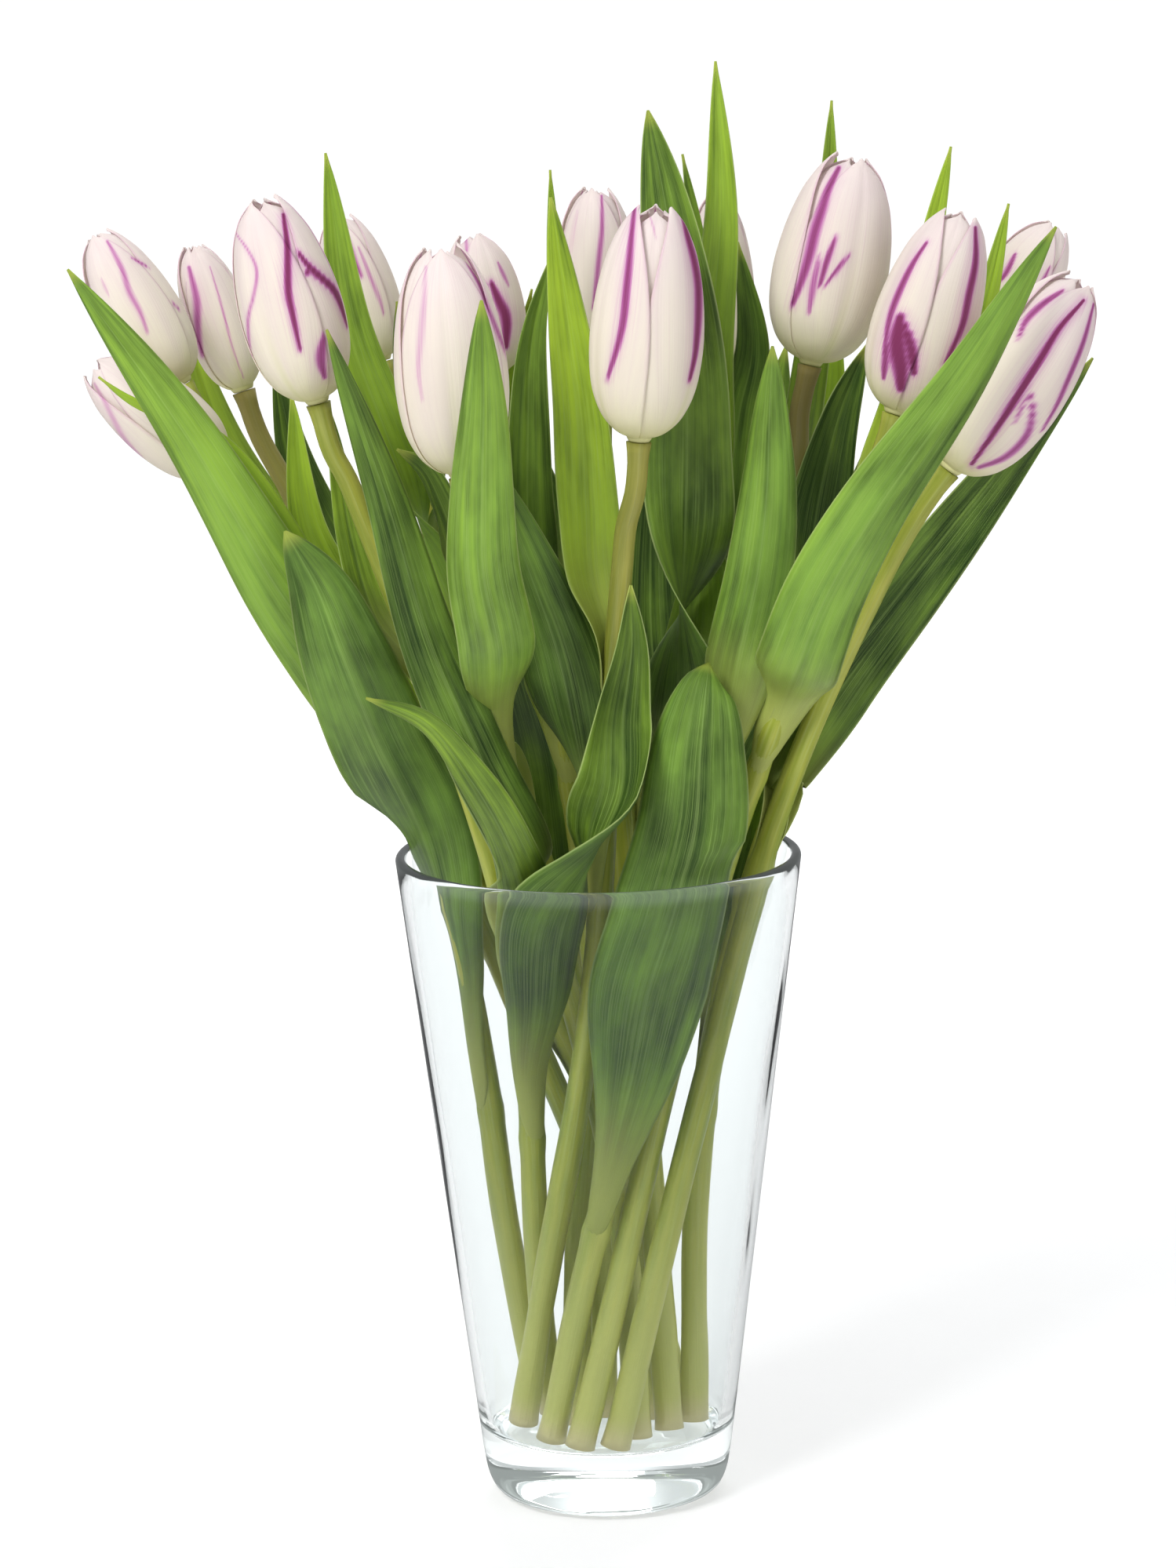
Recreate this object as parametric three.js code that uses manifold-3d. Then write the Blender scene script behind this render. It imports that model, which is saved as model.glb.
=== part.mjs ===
// Cut tulips standing in a clear tapered glass vase. Millimetres, +Z up.
// The origin is the centre of the vase's base, where it stands on the table. -Y is the front.
import * as THREE from 'three';
import { mergeVertices } from 'three/addons/utils/BufferGeometryUtils.js';
import Module from 'manifold-3d';

const wasm = await Module();
wasm.setup();

// ---- driving dimensions ----
const GAP = 0.3;                    // clearance between pieces that touch
const VASE_HEIGHT = 200;
const RIM_RADIUS = 61.5;            // outside, at the lip
const HEEL_RADIUS = 38.3;           // outside, where the straight side starts
const HEEL_HEIGHT = 14;
const FOOT_RADIUS = 31;             // flat that stands on the table
const WALL = 3.2;
const FLOOR_HEIGHT = 20;            // top of the thick glass base
const VASE_SEGMENTS = 32;

const STEM_RADIUS_LOW = 4.3;        // at the cut foot
const STEM_RADIUS_HIGH = 3.0;       // under the bloom
const STEM_SIDES = 6;
const STEM_STEP = 13;               // height between the rings that set a stem's course
const BAR_STEP = 38;                // length of one straight facet along a stem
const STEM_SPACING = 10.6;          // least distance between two stems' centres, on the level
const NECK = 14;                    // straight length under the bloom

const LEAF_THICKNESS = 0.9;
const BROAD_WIDTH = 33;             // leaves this wide have four strips across
const SLIP_WIDTH = 17;              // leaves narrower than this have two
const SHEATH_LENGTH = 22;           // length that clasps the stem
const SHEATH_WRAP = 1.3;            // half angle of the clasp, in radians
const CHANNEL = 0.62;               // half angle of an open leaf's hollow, in radians
const GLASS_CLEARANCE = 1.8;        // from the middle of a leaf to the glass
const LIP_SPREAD = 0.04;            // how fast a leaf may spread above the lip, by the square of height

const PETAL_THICKNESS = 1.0;
const RECEPTACLE_HEIGHT = 5;
const CROSSING_CLEARANCE = 0.35;    // left round whatever a leaf is trimmed against

// The bunch is laid out on the upright plane through the vase's axis, as it looks from the
// viewing point. A point is [across, up, depth]; depth moves it along its line of sight.
const VIEW_DISTANCE = 1500;
const VIEW_HEIGHT = 513;

const COLOURS = { glass: '#dfe9e6', leaf: '#5f8f3f', petal: '#efe6e6' };

// One row for each tulip: foot on the vase's floor, course of the stem up to the bloom, the
// bloom's tip, width and turn, and its leaves. A leaf has the height where it leaves the stem,
// its width, the angle about the vertical that its inner face looks to, and its course. An
// unfurl above 2 keeps a leaf rolled for longer, a point above 2.6 makes its end blunter, a
// hollow above 1 channels it more, and turning says between which shares of its length it turns.
const TULIPS = {
  far_left: {
    foot: [25, 12],
    stem: [[16, 60, 14], [-4, 110, 12], [-26, 160, 15], [-48, 203, 20], [-72, 245, 22],
      [-95, 285, 23], [-112, 320, 24], [-121, 343, 25]],
    tip: [-146, 389, 30], width: 24, turn: 20,
    leaves: {},
  },
  low_left: {
    foot: [-21, 19],
    stem: [[-28, 60, 16], [-33, 95, 12], [-35, 124, 7], [-37, 160, 3], [-44, 198, 1],
      [-56, 225, 1], [-78, 262, 3], [-98, 296, 6], [-110, 318, 8]],
    tip: [-148, 350, 6], width: 25, turn: 70,
    leaves: {
      broad: { from: 118, width: 34, face: 85, unfurl: 5, point: 7, turning: [0.25, 0.6],
        course: [[-44, 168, 2], [-51, 201, -7], [-66, 235, -30], [-76, 262, -44], [-83, 282, -47],
          [-92, 299, -46]] },
      long: { from: 200, width: 28, face: 80,
        course: [[-62, 236, -14], [-77, 256, -22], [-94, 281, -29], [-121, 329, -32], [-154, 378, -24]] },
      slip: { from: 226, width: 10, face: 80,
        course: [[-92, 299, -16], [-111, 326, -17], [-137, 339, -18], [-146, 346, -18]] },
    },
  },
  back_left: {
    foot: [16, 5],
    stem: [[18, 60, 10], [5, 105, 14], [-15, 150, 20], [-35, 195, 28], [-55, 235, 36],
      [-75, 275, 43], [-92, 315, 48], [-103, 341, 50]],
    tip: [-117, 385, 52], width: 20, turn: 40,
    leaves: {
      narrow: { from: 205, width: 20, face: -90,
        course: [[-74, 262, 52], [-92, 296, 62], [-108, 325, 68], [-123, 370, 72]] },
      rear: { from: 112, width: 34, face: -100, unfurl: 6,
        course: [[-22, 150, 34], [-34, 192, 36], [-45, 226, 46], [-62, 262, 72], [-86, 314, 98],
          [-94, 350, 106]] },
    },
  },
  left: {
    foot: [-17, 10],
    stem: [[-23, 60, 2], [-21, 104, -4], [-20, 130, -8], [-22, 165, -16], [-28, 195, -24],
      [-38, 222, -30], [-48, 248, -34], [-65, 293, -36], [-74, 317, -37], [-81, 337, -38]],
    tip: [-97, 399, -40], width: 31, turn: 0,
    leaves: {
      curled: { from: 112, width: 40, face: -90, unfurl: 4, hollow: 2, turning: [0.4, 0.8],
        course: [[-15, 152, -32], [-11, 178, -46], [-1, 200, -53], [7, 218, -52], [8, 240, -46],
          [11, 262, -51], [11, 281, -56]] },
      long: { from: 168, width: 22, face: 95,
        course: [[-20, 196, -41], [-35, 229, -50], [-49, 263, -52], [-62, 310, -58],
          [-78, 359, -58]] },
      horn: { from: 150, width: 18, face: 70,
        course: [[-22, 186, -40], [-28, 205, -56], [-38, 223, -64], [-51, 240, -64], [-69, 248, -60]] },
      strip: { from: 240, width: 13, face: -80,
        course: [[-65, 272, -22], [-72, 296, -20], [-78, 336, -16]] },
    },
  },
  back_mid_left: {
    foot: [9, 22],
    stem: [[10, 60, 24], [4, 110, 26], [-6, 160, 30], [-18, 205, 36], [-32, 245, 44],
      [-45, 285, 55], [-56, 325, 66], [-62, 349, 72]],
    tip: [-74, 393, 76], width: 22, turn: 10,
    leaves: {
      tall: { from: 228, width: 22, face: -70,
        course: [[-48, 292, 34], [-61, 328, 28], [-71, 359, 26], [-77, 411, 26]] },
      strip: { from: 196, width: 20, face: -85,
        course: [[-43, 238, 17], [-68, 270, 17], [-84, 297, 20], [-89, 340, 24]] },
      slip: { from: 262, width: 15, face: -90,
        course: [[-49, 320, 44], [-55, 347, 42], [-57, 367, 42]] },
      rear: { from: 122, width: 32, face: -90, unfurl: 4,
        course: [[-7, 160, 43], [-8, 195, 48], [-11, 226, 58], [-20, 260, 84], [-33, 305, 104],
          [-40, 340, 112]] },
    },
  },
  front_left: {
    foot: [9, -17],
    stem: [[10, 60, -14], [6, 100, -9], [-2, 135, -6], [-12, 165, -7], [-21, 195, -12],
      [-30, 228, -32], [-35, 255, -46], [-37, 290, -54], [-39, 314, -58]],
    tip: [-44, 384, -62], width: 34, turn: 30,
    leaves: {
      front: { from: 226, width: 25, face: 90, unfurl: 3, point: 3.2,
        course: [[-29, 262, -72], [-33, 286, -81], [-33, 310, -82], [-32, 337, -86], [-32, 367, -85]] },
      curl: { from: 255, width: 18, face: 60,
        course: [[-40, 292, -40], [-45, 307, -35], [-50, 317, -32], [-58, 323, -32]] },
    },
  },
  mid_left: {
    foot: [-1, 8],
    stem: [[-1, 60, 8], [0, 100, 12], [0, 150, 16], [-4, 200, 22], [-10, 240, 26],
      [-18, 280, 32], [-25, 320, 36], [-29, 344, 38]],
    tip: [-34, 387, 40], width: 24, turn: 55,
    leaves: {
      broad: { from: 215, width: 20, face: -80,
        course: [[-15, 262, 4], [-19, 295, -4], [-19, 325, -8], [-17, 356, -9], [-11, 380, -9]] },
      slip: { from: 248, width: 18, face: -95, point: 5,
        course: [[-12, 285, 14], [-15, 306, 10], [-20, 329, 8]] },
      bright: { from: 236, width: 15, face: -60,
        course: [[-22, 305, 46], [-24, 338, 48], [-21, 353, 48], [-17, 370, 46]] },
    },
  },
  back_mid: {
    foot: [19, -11],
    stem: [[17, 60, -4], [14, 110, 4], [10, 155, 10], [6, 205, 18], [4, 250, 26],
      [3, 300, 36], [3, 347, 44]],
    tip: [2, 400, 48], width: 25, turn: 15,
    leaves: {
      slip: { from: 262, width: 10, face: -90,
        course: [[-6, 335, 16], [-10, 375, 12], [-11, 405, 10]] },
      rear: { from: 116, width: 34, face: -90, unfurl: 4.5,
        course: [[16, 158, 38], [23, 195, 45], [22, 228, 56], [17, 262, 80], [18, 312, 104],
          [22, 352, 112]] },
    },
  },
  front_mid: {
    foot: [-26, -2],
    stem: [[-21, 60, -8], [-13, 90, -14], [-3, 140, -22], [2, 180, -26], [3, 230, -33],
      [5, 269, -42], [8, 287, -47], [11, 306, -52], [14, 324, -55]],
    tip: [20, 395, -58], width: 34, turn: 90,
    leaves: {
      broad: { from: 186, width: 32, face: 85, unfurl: 3,
        course: [[-3, 218, -34], [-7, 242, -38], [-12, 264, -41], [-20, 288, -43], [-31, 320, -44]] },
      tall: { from: 250, width: 21, face: -95,
        course: [[-1, 284, -36], [-2, 306, -38], [-3, 332, -39], [-6, 357, -38], [-11, 397, -35]] },
    },
  },
  back_mid_right: {
    foot: [-9, 0],
    stem: [[-10, 60, -2], [-6, 110, 3], [2, 150, 5], [14, 195, 5], [24, 235, 11],
      [32, 275, 22], [38, 315, 34], [40, 344, 40]],
    tip: [38, 398, 44], width: 20, turn: 35,
    leaves: {
      broad: { from: 196, width: 30, face: -92, point: 4.5,
        course: [[24, 240, -9], [26, 270, -20], [28, 310, -27], [28, 348, -28], [24, 386, -26],
          [18, 422, -18]] },
      tall: { from: 222, width: 20, face: -85,
        course: [[31, 270, -2], [33, 310, -8], [35, 350, -10], [39, 390, -10], [38, 436, -8]] },
      slip: { from: 238, width: 12, face: -90,
        course: [[34, 300, 12], [34, 350, 8], [32, 384, 6], [28, 409, 4]] },
      wavy: { from: 236, width: 20, face: -90,
        course: [[40, 285, 8], [41, 308, 10], [44, 332, 13], [48, 352, 15], [44, 383, 17]] },
      rear: { from: 190, width: 32, face: -95,
        course: [[26, 236, 38], [38, 272, 70], [52, 320, 92], [58, 352, 98]] },
    },
  },
  right: {
    foot: [-17, -20],
    stem: [[-10, 45, -20], [-1, 86, -26], [8, 123, -32], [20, 165, -36], [29, 205, -36],
      [40, 240, -30], [52, 275, -20], [60, 310, -10], [65, 346, -2]],
    tip: [79, 408, 2], width: 34, turn: 50,
    leaves: {
      front: { from: 88, width: 37, face: 95, unfurl: 4, point: 8,
        course: [[9, 130, -42], [14, 155, -47], [22, 180, -50], [29, 206, -52], [31, 230, -52],
          [33, 249, -49], [34, 257, -39]] },
      near: { from: 222, width: 23, face: 80, point: 3.4,
        course: [[43, 258, -37], [49, 284, -43], [52, 308, -47], [53, 330, -47], [54, 352, -41]] },
      slip: { from: 285, width: 13, face: -90,
        course: [[64, 338, 22], [70, 385, 25], [72, 424, 20]] },
    },
  },
  right_front: {
    foot: [-8, -28],
    stem: [[4, 70, -25], [14, 110, -18], [26, 155, -20], [36, 195, -24], [45, 222, -30],
      [57, 247, -34], [68, 272, -32], [80, 302, -29], [90, 331, -27]],
    tip: [110, 391, -25], width: 31, turn: 85,
    leaves: {
      broad: { from: 228, width: 27, face: 110,
        course: [[60, 254, -53], [69, 276, -62], [84, 302, -70], [112, 342, -72],
          [138, 386, -62]] },
      slip: { from: 285, width: 14, face: -90,
        course: [[94, 342, -4], [101, 382, -2], [107, 410, 2]] },
      dark: { from: 240, width: 25, face: -80,
        course: [[64, 284, -27], [68, 308, -20], [74, 332, -16], [82, 352, -14]] },
    },
  },
  far_right: {
    foot: [27, -1],
    stem: [[26, 80, 4], [28, 115, 4], [34, 155, 6], [44, 190, 10], [58, 225, 16],
      [76, 262, 22], [94, 300, 28], [108, 330, 33], [116, 348, 35]],
    tip: [138, 387, 38], width: 24, turn: 0,
    leaves: {
      slip: { from: 285, width: 12, face: -95,
        course: [[106, 335, 12], [116, 360, 9], [124, 393, 6]] },
      strip: { from: 222, width: 27, face: -85,
        course: [[62, 275, 20], [66, 312, 33], [69, 345, 42], [72, 372, 46]] },
      rear: { from: 118, width: 30, face: -110, unfurl: 6,
        course: [[35, 158, 23], [37, 190, 28], [44, 220, 36], [60, 256, 60], [84, 312, 84],
          [94, 350, 92]] },
    },
  },
  low_right: {
    foot: [2, -28],
    stem: [[11, 50, -27], [22, 95, -25], [31, 125, -23], [41, 165, -20], [47, 200, -17],
      [54, 218, -17], [67, 247, -22], [82, 276, -30], [95, 298, -36], [106, 314, -39]],
    tip: [147, 371, -42], width: 34, turn: 40,
    leaves: {
      long: { from: 197, width: 29, face: -60, unfurl: 3,
        course: [[54, 220, -9], [66, 243, -12], [93, 279, -11], [121, 314, -8],
          [149, 347, -6]] },
      low: { from: 198, width: 15, face: 180,
        course: [[65, 236, -10], [70, 250, -6]] },
    },
  },
};

// ---- small helpers ----
const UP = new THREE.Vector3(0, 0, 1);
const radians = (degrees) => degrees * Math.PI / 180;
const mix = (a, b, t) => a + (b - a) * t;
const smooth = (a, b, t) => THREE.MathUtils.smoothstep(t, a, b);

function place([across, up, depth]) {
  const scale = 1 + depth / VIEW_DISTANCE;
  return new THREE.Vector3(across * scale, depth, VIEW_HEIGHT + (up - VIEW_HEIGHT) * scale);
}

function outerRadius(height) {
  const t = (height - HEEL_HEIGHT) / (VASE_HEIGHT - HEEL_HEIGHT);
  return mix(HEEL_RADIUS, RIM_RADIUS, t);
}

// ---- solids ----
function toSolid(geometry) {
  const bare = new THREE.BufferGeometry();
  bare.setAttribute('position', geometry.getAttribute('position'));
  bare.setIndex(geometry.getIndex());
  const merged = mergeVertices(bare, 1e-4);
  const index = merged.getIndex().array;
  const kept = [];
  for (let i = 0; i < index.length; i += 3) {
    const [a, b, c] = [index[i], index[i + 1], index[i + 2]];
    if (a !== b && b !== c && c !== a) kept.push(a, b, c);
  }
  const mesh = new wasm.Mesh({
    numProp: 3,
    vertProperties: new Float32Array(merged.getAttribute('position').array),
    triVerts: new Uint32Array(kept),
  });
  return new wasm.Manifold(mesh);
}

function toGeometry(solid) {
  const mesh = solid.getMesh();
  const geometry = new THREE.BufferGeometry();
  geometry.setAttribute('position', new THREE.BufferAttribute(mesh.vertProperties, 3));
  geometry.setIndex(new THREE.BufferAttribute(mesh.triVerts, 1));
  return geometry;
}

function largestBody(solid) {
  return solid.decompose().reduce((best, body) => (body.volume() > best.volume() ? body : best));
}

function indexed(points, faces) {
  const geometry = new THREE.BufferGeometry();
  const positions = new Float32Array(points.flatMap((p) => [p.x, p.y, p.z]));
  geometry.setAttribute('position', new THREE.BufferAttribute(positions, 3));
  geometry.setIndex(faces);
  return geometry;
}

// A thin blade from a grid of points on its middle surface; both faces have the same diagonals.
function blade(grid, thickness) {
  const rows = grid.length;
  const columns = grid[0].length;
  const clampRow = (i) => Math.min(Math.max(i, 0), rows - 1);
  const clampColumn = (j) => Math.min(Math.max(j, 0), columns - 1);
  const front = [];
  const back = [];
  for (let i = 0; i < rows; i += 1) {
    for (let j = 0; j < columns; j += 1) {
      const along = grid[clampRow(i + 1)][j].clone().sub(grid[clampRow(i - 1)][j]);
      const across = grid[i][clampColumn(j + 1)].clone().sub(grid[i][clampColumn(j - 1)]);
      const normal = across.cross(along).normalize().multiplyScalar(thickness / 2);
      front.push(grid[i][j].clone().add(normal));
      back.push(grid[i][j].clone().sub(normal));
    }
  }
  const count = rows * columns;
  const faces = [];
  const quad = (a, b, c, d) => faces.push(a, b, c, a, c, d);
  for (let i = 0; i < rows - 1; i += 1) {
    for (let j = 0; j < columns - 1; j += 1) {
      const a = i * columns + j;
      const [b, c, d] = [a + 1, a + columns + 1, a + columns];
      faces.push(a, b, c, a, c, d);
      faces.push(count + a, count + c, count + b, count + a, count + d, count + c);
    }
    const left = i * columns;
    const right = left + columns - 1;
    quad(left, left + columns, count + left + columns, count + left);
    quad(right + columns, right, count + right, count + right + columns);
  }
  const last = (rows - 1) * columns;
  for (let j = 0; j < columns - 1; j += 1) {
    quad(j + 1, j, count + j, count + j + 1);
    quad(last + j, last + j + 1, count + last + j + 1, count + last + j);
  }
  return toSolid(indexed([...front, ...back], faces));
}

// A round bar along a curve, its radius set by a function of the way along, with flat ends.
function bar(curve, radiusAt, steps) {
  const frames = curve.computeFrenetFrames(steps);
  const points = [];
  for (let i = 0; i <= steps; i += 1) {
    const centre = curve.getPointAt(i / steps);
    const radius = radiusAt(i / steps);
    for (let j = 0; j < STEM_SIDES; j += 1) {
      const angle = 2 * Math.PI * j / STEM_SIDES;
      const side = frames.normals[i].clone().multiplyScalar(radius * Math.cos(angle));
      side.addScaledVector(frames.binormals[i], radius * Math.sin(angle));
      points.push(centre.clone().add(side));
    }
  }
  const faces = [];
  for (let i = 0; i < steps; i += 1) {
    for (let j = 0; j < STEM_SIDES; j += 1) {
      const a = i * STEM_SIDES + j;
      const b = i * STEM_SIDES + (j + 1) % STEM_SIDES;
      faces.push(a, b, b + STEM_SIDES, a, b + STEM_SIDES, a + STEM_SIDES);
    }
  }
  const top = steps * STEM_SIDES;
  for (let j = 1; j < STEM_SIDES - 1; j += 1) {
    faces.push(0, j + 1, j);
    faces.push(top, top + j, top + j + 1);
  }
  return toSolid(indexed(points, faces));
}

// ---- vase ----
function turned(profile) {
  const points = profile.map(([radius, height]) => new THREE.Vector2(radius, height));
  const lathe = new THREE.LatheGeometry(points, VASE_SEGMENTS);
  lathe.rotateX(Math.PI / 2);
  return toSolid(lathe);
}

function vaseSolid() {
  const lipInner = RIM_RADIUS - WALL;
  const innerFoot = outerRadius(FLOOR_HEIGHT) - WALL;
  return turned([
    [0, 0], [FOOT_RADIUS, 0], [FOOT_RADIUS + 3.4, 1.6], [HEEL_RADIUS - 1.6, 6], [HEEL_RADIUS, HEEL_HEIGHT],
    [RIM_RADIUS - 0.1, VASE_HEIGHT - 1.4], [RIM_RADIUS - 0.9, VASE_HEIGHT],
    [lipInner + 0.9, VASE_HEIGHT], [lipInner, VASE_HEIGHT - 1.4],
    [innerFoot + 0.4, FLOOR_HEIGHT + 4], [innerFoot - 2.4, FLOOR_HEIGHT], [0, FLOOR_HEIGHT],
  ]);
}

// The side wall and its clearance, as a solid ring that the leaves are trimmed against.
function wallSolid() {
  const room = WALL + CROSSING_CLEARANCE;
  const heel = outerRadius(FLOOR_HEIGHT);
  return turned([
    [heel - room, FLOOR_HEIGHT], [heel + 1, FLOOR_HEIGHT],
    [RIM_RADIUS + CROSSING_CLEARANCE, VASE_HEIGHT + CROSSING_CLEARANCE],
    [RIM_RADIUS - room, VASE_HEIGHT + CROSSING_CLEARANCE],
    [heel - room, FLOOR_HEIGHT],
  ]);
}

// ---- stems ----
// Where the stem's given course passes a height.
function pointAtHeight(points, height) {
  for (let i = 1; i < points.length; i += 1) {
    if (points[i].z >= height) {
      const t = (height - points[i - 1].z) / (points[i].z - points[i - 1].z);
      return points[i - 1].clone().lerp(points[i], Math.max(t, 0));
    }
  }
  return points[points.length - 1].clone();
}

// Stems that come too close at a level lean off each other, and off the glass.
function settle(stems) {
  const levels = Math.max(...stems.map((stem) => stem.length));
  for (let round = 0; round < 150; round += 1) {
    for (let level = 0; level < levels; level += 1) {
      const here = stems.filter((stem) => level < stem.length).map((stem) => stem[level]);
      for (let i = 0; i < here.length; i += 1) {
        for (let j = i + 1; j < here.length; j += 1) {
          const dx = here[j].x - here[i].x;
          const dy = here[j].y - here[i].y;
          const distance = Math.hypot(dx, dy);
          if (distance >= STEM_SPACING) continue;
          const push = (STEM_SPACING - distance) / 2 / distance;
          here[i].x -= dx * push;
          here[i].y -= dy * push;
          here[j].x += dx * push;
          here[j].y += dy * push;
        }
      }
      for (const point of here) {
        if (point.z > VASE_HEIGHT + 10) continue;
        const reach = outerRadius(point.z) - WALL - STEM_RADIUS_LOW - 1;
        const radius = Math.hypot(point.x, point.y);
        if (radius <= reach) continue;
        point.x *= reach / radius;
        point.y *= reach / radius;
      }
    }
    for (const stem of stems) {
      for (let level = 1; level < stem.length - 1; level += 1) {
        const middle = stem[level - 1].clone().add(stem[level + 1]).multiplyScalar(0.5);
        stem[level].x = mix(stem[level].x, middle.x, 0.06);
        stem[level].y = mix(stem[level].y, middle.y, 0.06);
      }
    }
  }
}

function stemCurves() {
  const rows = Object.values(TULIPS);
  const courses = rows.map((row) => {
    const foot = new THREE.Vector3(row.foot[0], row.foot[1], FLOOR_HEIGHT);
    return [foot, ...row.stem.map(place)];
  });
  const levels = courses.map((course) => {
    const top = course[course.length - 1].z - NECK - 4;
    const points = [];
    for (let z = FLOOR_HEIGHT; z < top; z += STEM_STEP) points.push(pointAtHeight(course, z));
    return points;
  });
  settle(levels);
  return levels.map((points, i) => {
    const base = courses[i][courses[i].length - 1];
    const axis = place(rows[i].tip).sub(base).normalize();
    const lean = points[1].clone().sub(points[0]).angleTo(UP);
    points[0].z = FLOOR_HEIGHT + GAP + STEM_RADIUS_LOW * Math.sin(lean);
    return new THREE.CatmullRomCurve3([...points, base.clone().addScaledVector(axis, -NECK), base]);
  });
}

function stemSolid(curve, grow) {
  const steps = Math.round(curve.getLength() / BAR_STEP);
  return bar(curve, (t) => mix(STEM_RADIUS_LOW, STEM_RADIUS_HIGH, t) + grow, steps);
}

function curveAtHeight(curve, height) {
  let low = 0;
  let high = 1;
  for (let i = 0; i < 30; i += 1) {
    const middle = (low + high) / 2;
    if (curve.getPoint(middle).z < height) low = middle;
    else high = middle;
  }
  return curve.getPoint(low);
}

// ---- leaves ----
// A point of a leaf that would meet the glass lies against it instead.
function keepInside(point) {
  const lip = Math.min(point.z, VASE_HEIGHT);
  const reach = outerRadius(lip) - WALL - GLASS_CLEARANCE + LIP_SPREAD * (point.z - lip) ** 2;
  const radius = Math.hypot(point.x, point.y);
  if (radius <= reach) return;
  point.x *= reach / radius;
  point.y *= reach / radius;
}

function leafSolid(leaf, stem, grow) {
  const course = leaf.course.map(place);
  const root = curveAtHeight(stem, leaf.from);
  const clasp = curveAtHeight(stem, leaf.from + SHEATH_LENGTH);
  const away = course[0].clone().sub(curveAtHeight(stem, course[0].z));
  const side = Math.atan2(away.y, away.x);
  const outward = new THREE.Vector3(Math.cos(side), Math.sin(side), 0);
  const share = (leaf.from - FLOOR_HEIGHT) / (stem.getPoint(1).z - FLOOR_HEIGHT);
  const claspRadius = mix(STEM_RADIUS_LOW, STEM_RADIUS_HIGH, share);
  root.addScaledVector(outward, claspRadius);
  clasp.addScaledVector(outward, claspRadius + 1);
  const midrib = new THREE.CatmullRomCurve3([root, clasp, ...course]);
  const [turnStart, turnEnd] = leaf.turning ?? [0.15, 0.6];
  const swing = THREE.MathUtils.euclideanModulo(radians(leaf.face) - side, 2 * Math.PI) - Math.PI;
  const claspShare = SHEATH_LENGTH / midrib.getLength();
  const rows = leaf.course.length + 1;
  const columns = 3 + (leaf.width >= BROAD_WIDTH) - (leaf.width < SLIP_WIDTH);
  const grid = [];
  for (let i = 0; i <= rows; i += 1) {
    const t = i / rows;
    const facing = side + Math.PI + swing * smooth(turnStart, turnEnd, t);
    const tangent = midrib.getTangentAt(t);
    const inner = new THREE.Vector3(Math.cos(facing), Math.sin(facing), 0);
    inner.addScaledVector(tangent, -inner.dot(tangent)).normalize();
    const across = tangent.clone().cross(inner);
    const opening = smooth(0, claspShare * (leaf.unfurl ?? 2), t);
    const taper = Math.pow(Math.max(1 - Math.pow(t, leaf.point ?? 2.6), 0), 0.8);
    const rootHalf = SHEATH_WRAP * claspRadius;
    const half = Math.max(mix(rootHalf, leaf.width / 2, opening) * taper, 0.8) + grow;
    const bend = mix(Math.min(SHEATH_WRAP, half / claspRadius), CHANNEL * (leaf.hollow ?? 1), opening);
    const radius = half / bend;
    const row = [];
    for (let j = 0; j <= columns; j += 1) {
      const angle = mix(-bend, bend, j / columns);
      const point = midrib.getPointAt(t);
      point.addScaledVector(across, radius * Math.sin(angle));
      point.addScaledVector(inner, radius * (1 - Math.cos(angle)));
      keepInside(point);
      row.push(point);
    }
    grid.push(row);
  }
  return blade(grid, LEAF_THICKNESS + 2 * grow);
}

// ---- blooms ----
// Height, radius and half angle of a petal from root to tip, as shares of the bloom's own.
const OUTER_PETAL = [
  [0.02, 0.14, 0.9], [0.13, 0.75, 1.0], [0.4, 1.0, 1.0], [0.78, 0.8, 0.84], [1.0, 0.3, 0.2],
];
const INNER_PETAL = [[0.055, 0.1, 0.6], [0.2, 0.66, 0.95], [0.62, 0.82, 0.9], [0.97, 0.28, 0.2]];
const PETAL_HALF_ANGLE = 57;
const PETALS_IN_WHORL = 3;

function petalSolid(rows, columns, middle, length, radius, grow) {
  const grid = rows.map(([height, reach, share]) => {
    const half = radians(PETAL_HALF_ANGLE) * share;
    const row = [];
    for (let j = 0; j <= columns; j += 1) {
      const angle = middle + mix(-half, half, j / columns);
      row.push(new THREE.Vector3(
        reach * radius * Math.cos(angle),
        reach * radius * Math.sin(angle),
        height * length,
      ));
    }
    return row;
  });
  return blade(grid, PETAL_THICKNESS + 2 * grow);
}

function bloomSolid(length, width, grow) {
  const radius = width / 2 - PETAL_THICKNESS / 2;
  const receptacle = new THREE.CylinderGeometry(
    STEM_RADIUS_HIGH + 0.6 + grow, STEM_RADIUS_HIGH + grow, RECEPTACLE_HEIGHT, STEM_SIDES);
  receptacle.rotateX(Math.PI / 2);
  receptacle.translate(0, 0, RECEPTACLE_HEIGHT / 2);
  let solid = toSolid(receptacle);
  for (let i = 0; i < PETALS_IN_WHORL; i += 1) {
    const middle = 2 * Math.PI * i / PETALS_IN_WHORL;
    solid = solid.add(petalSolid(OUTER_PETAL, 3, middle, length, radius, grow));
    solid = solid.add(petalSolid(INNER_PETAL, 2, middle + Math.PI / PETALS_IN_WHORL, length, radius, grow));
  }
  return solid;
}

function bloomPlacement(row, curve) {
  const base = curve.getPoint(1);
  const tip = place(row.tip);
  const axis = tip.clone().sub(base).normalize();
  const swing = new THREE.Quaternion().setFromUnitVectors(UP, axis);
  const spin = new THREE.Quaternion().setFromAxisAngle(UP, radians(row.turn));
  const position = base.clone().addScaledVector(axis, GAP);
  return {
    position,
    quaternion: swing.multiply(spin),
    length: tip.distanceTo(position),
    width: row.width * (1 + tip.y / VIEW_DISTANCE),
  };
}

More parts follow.
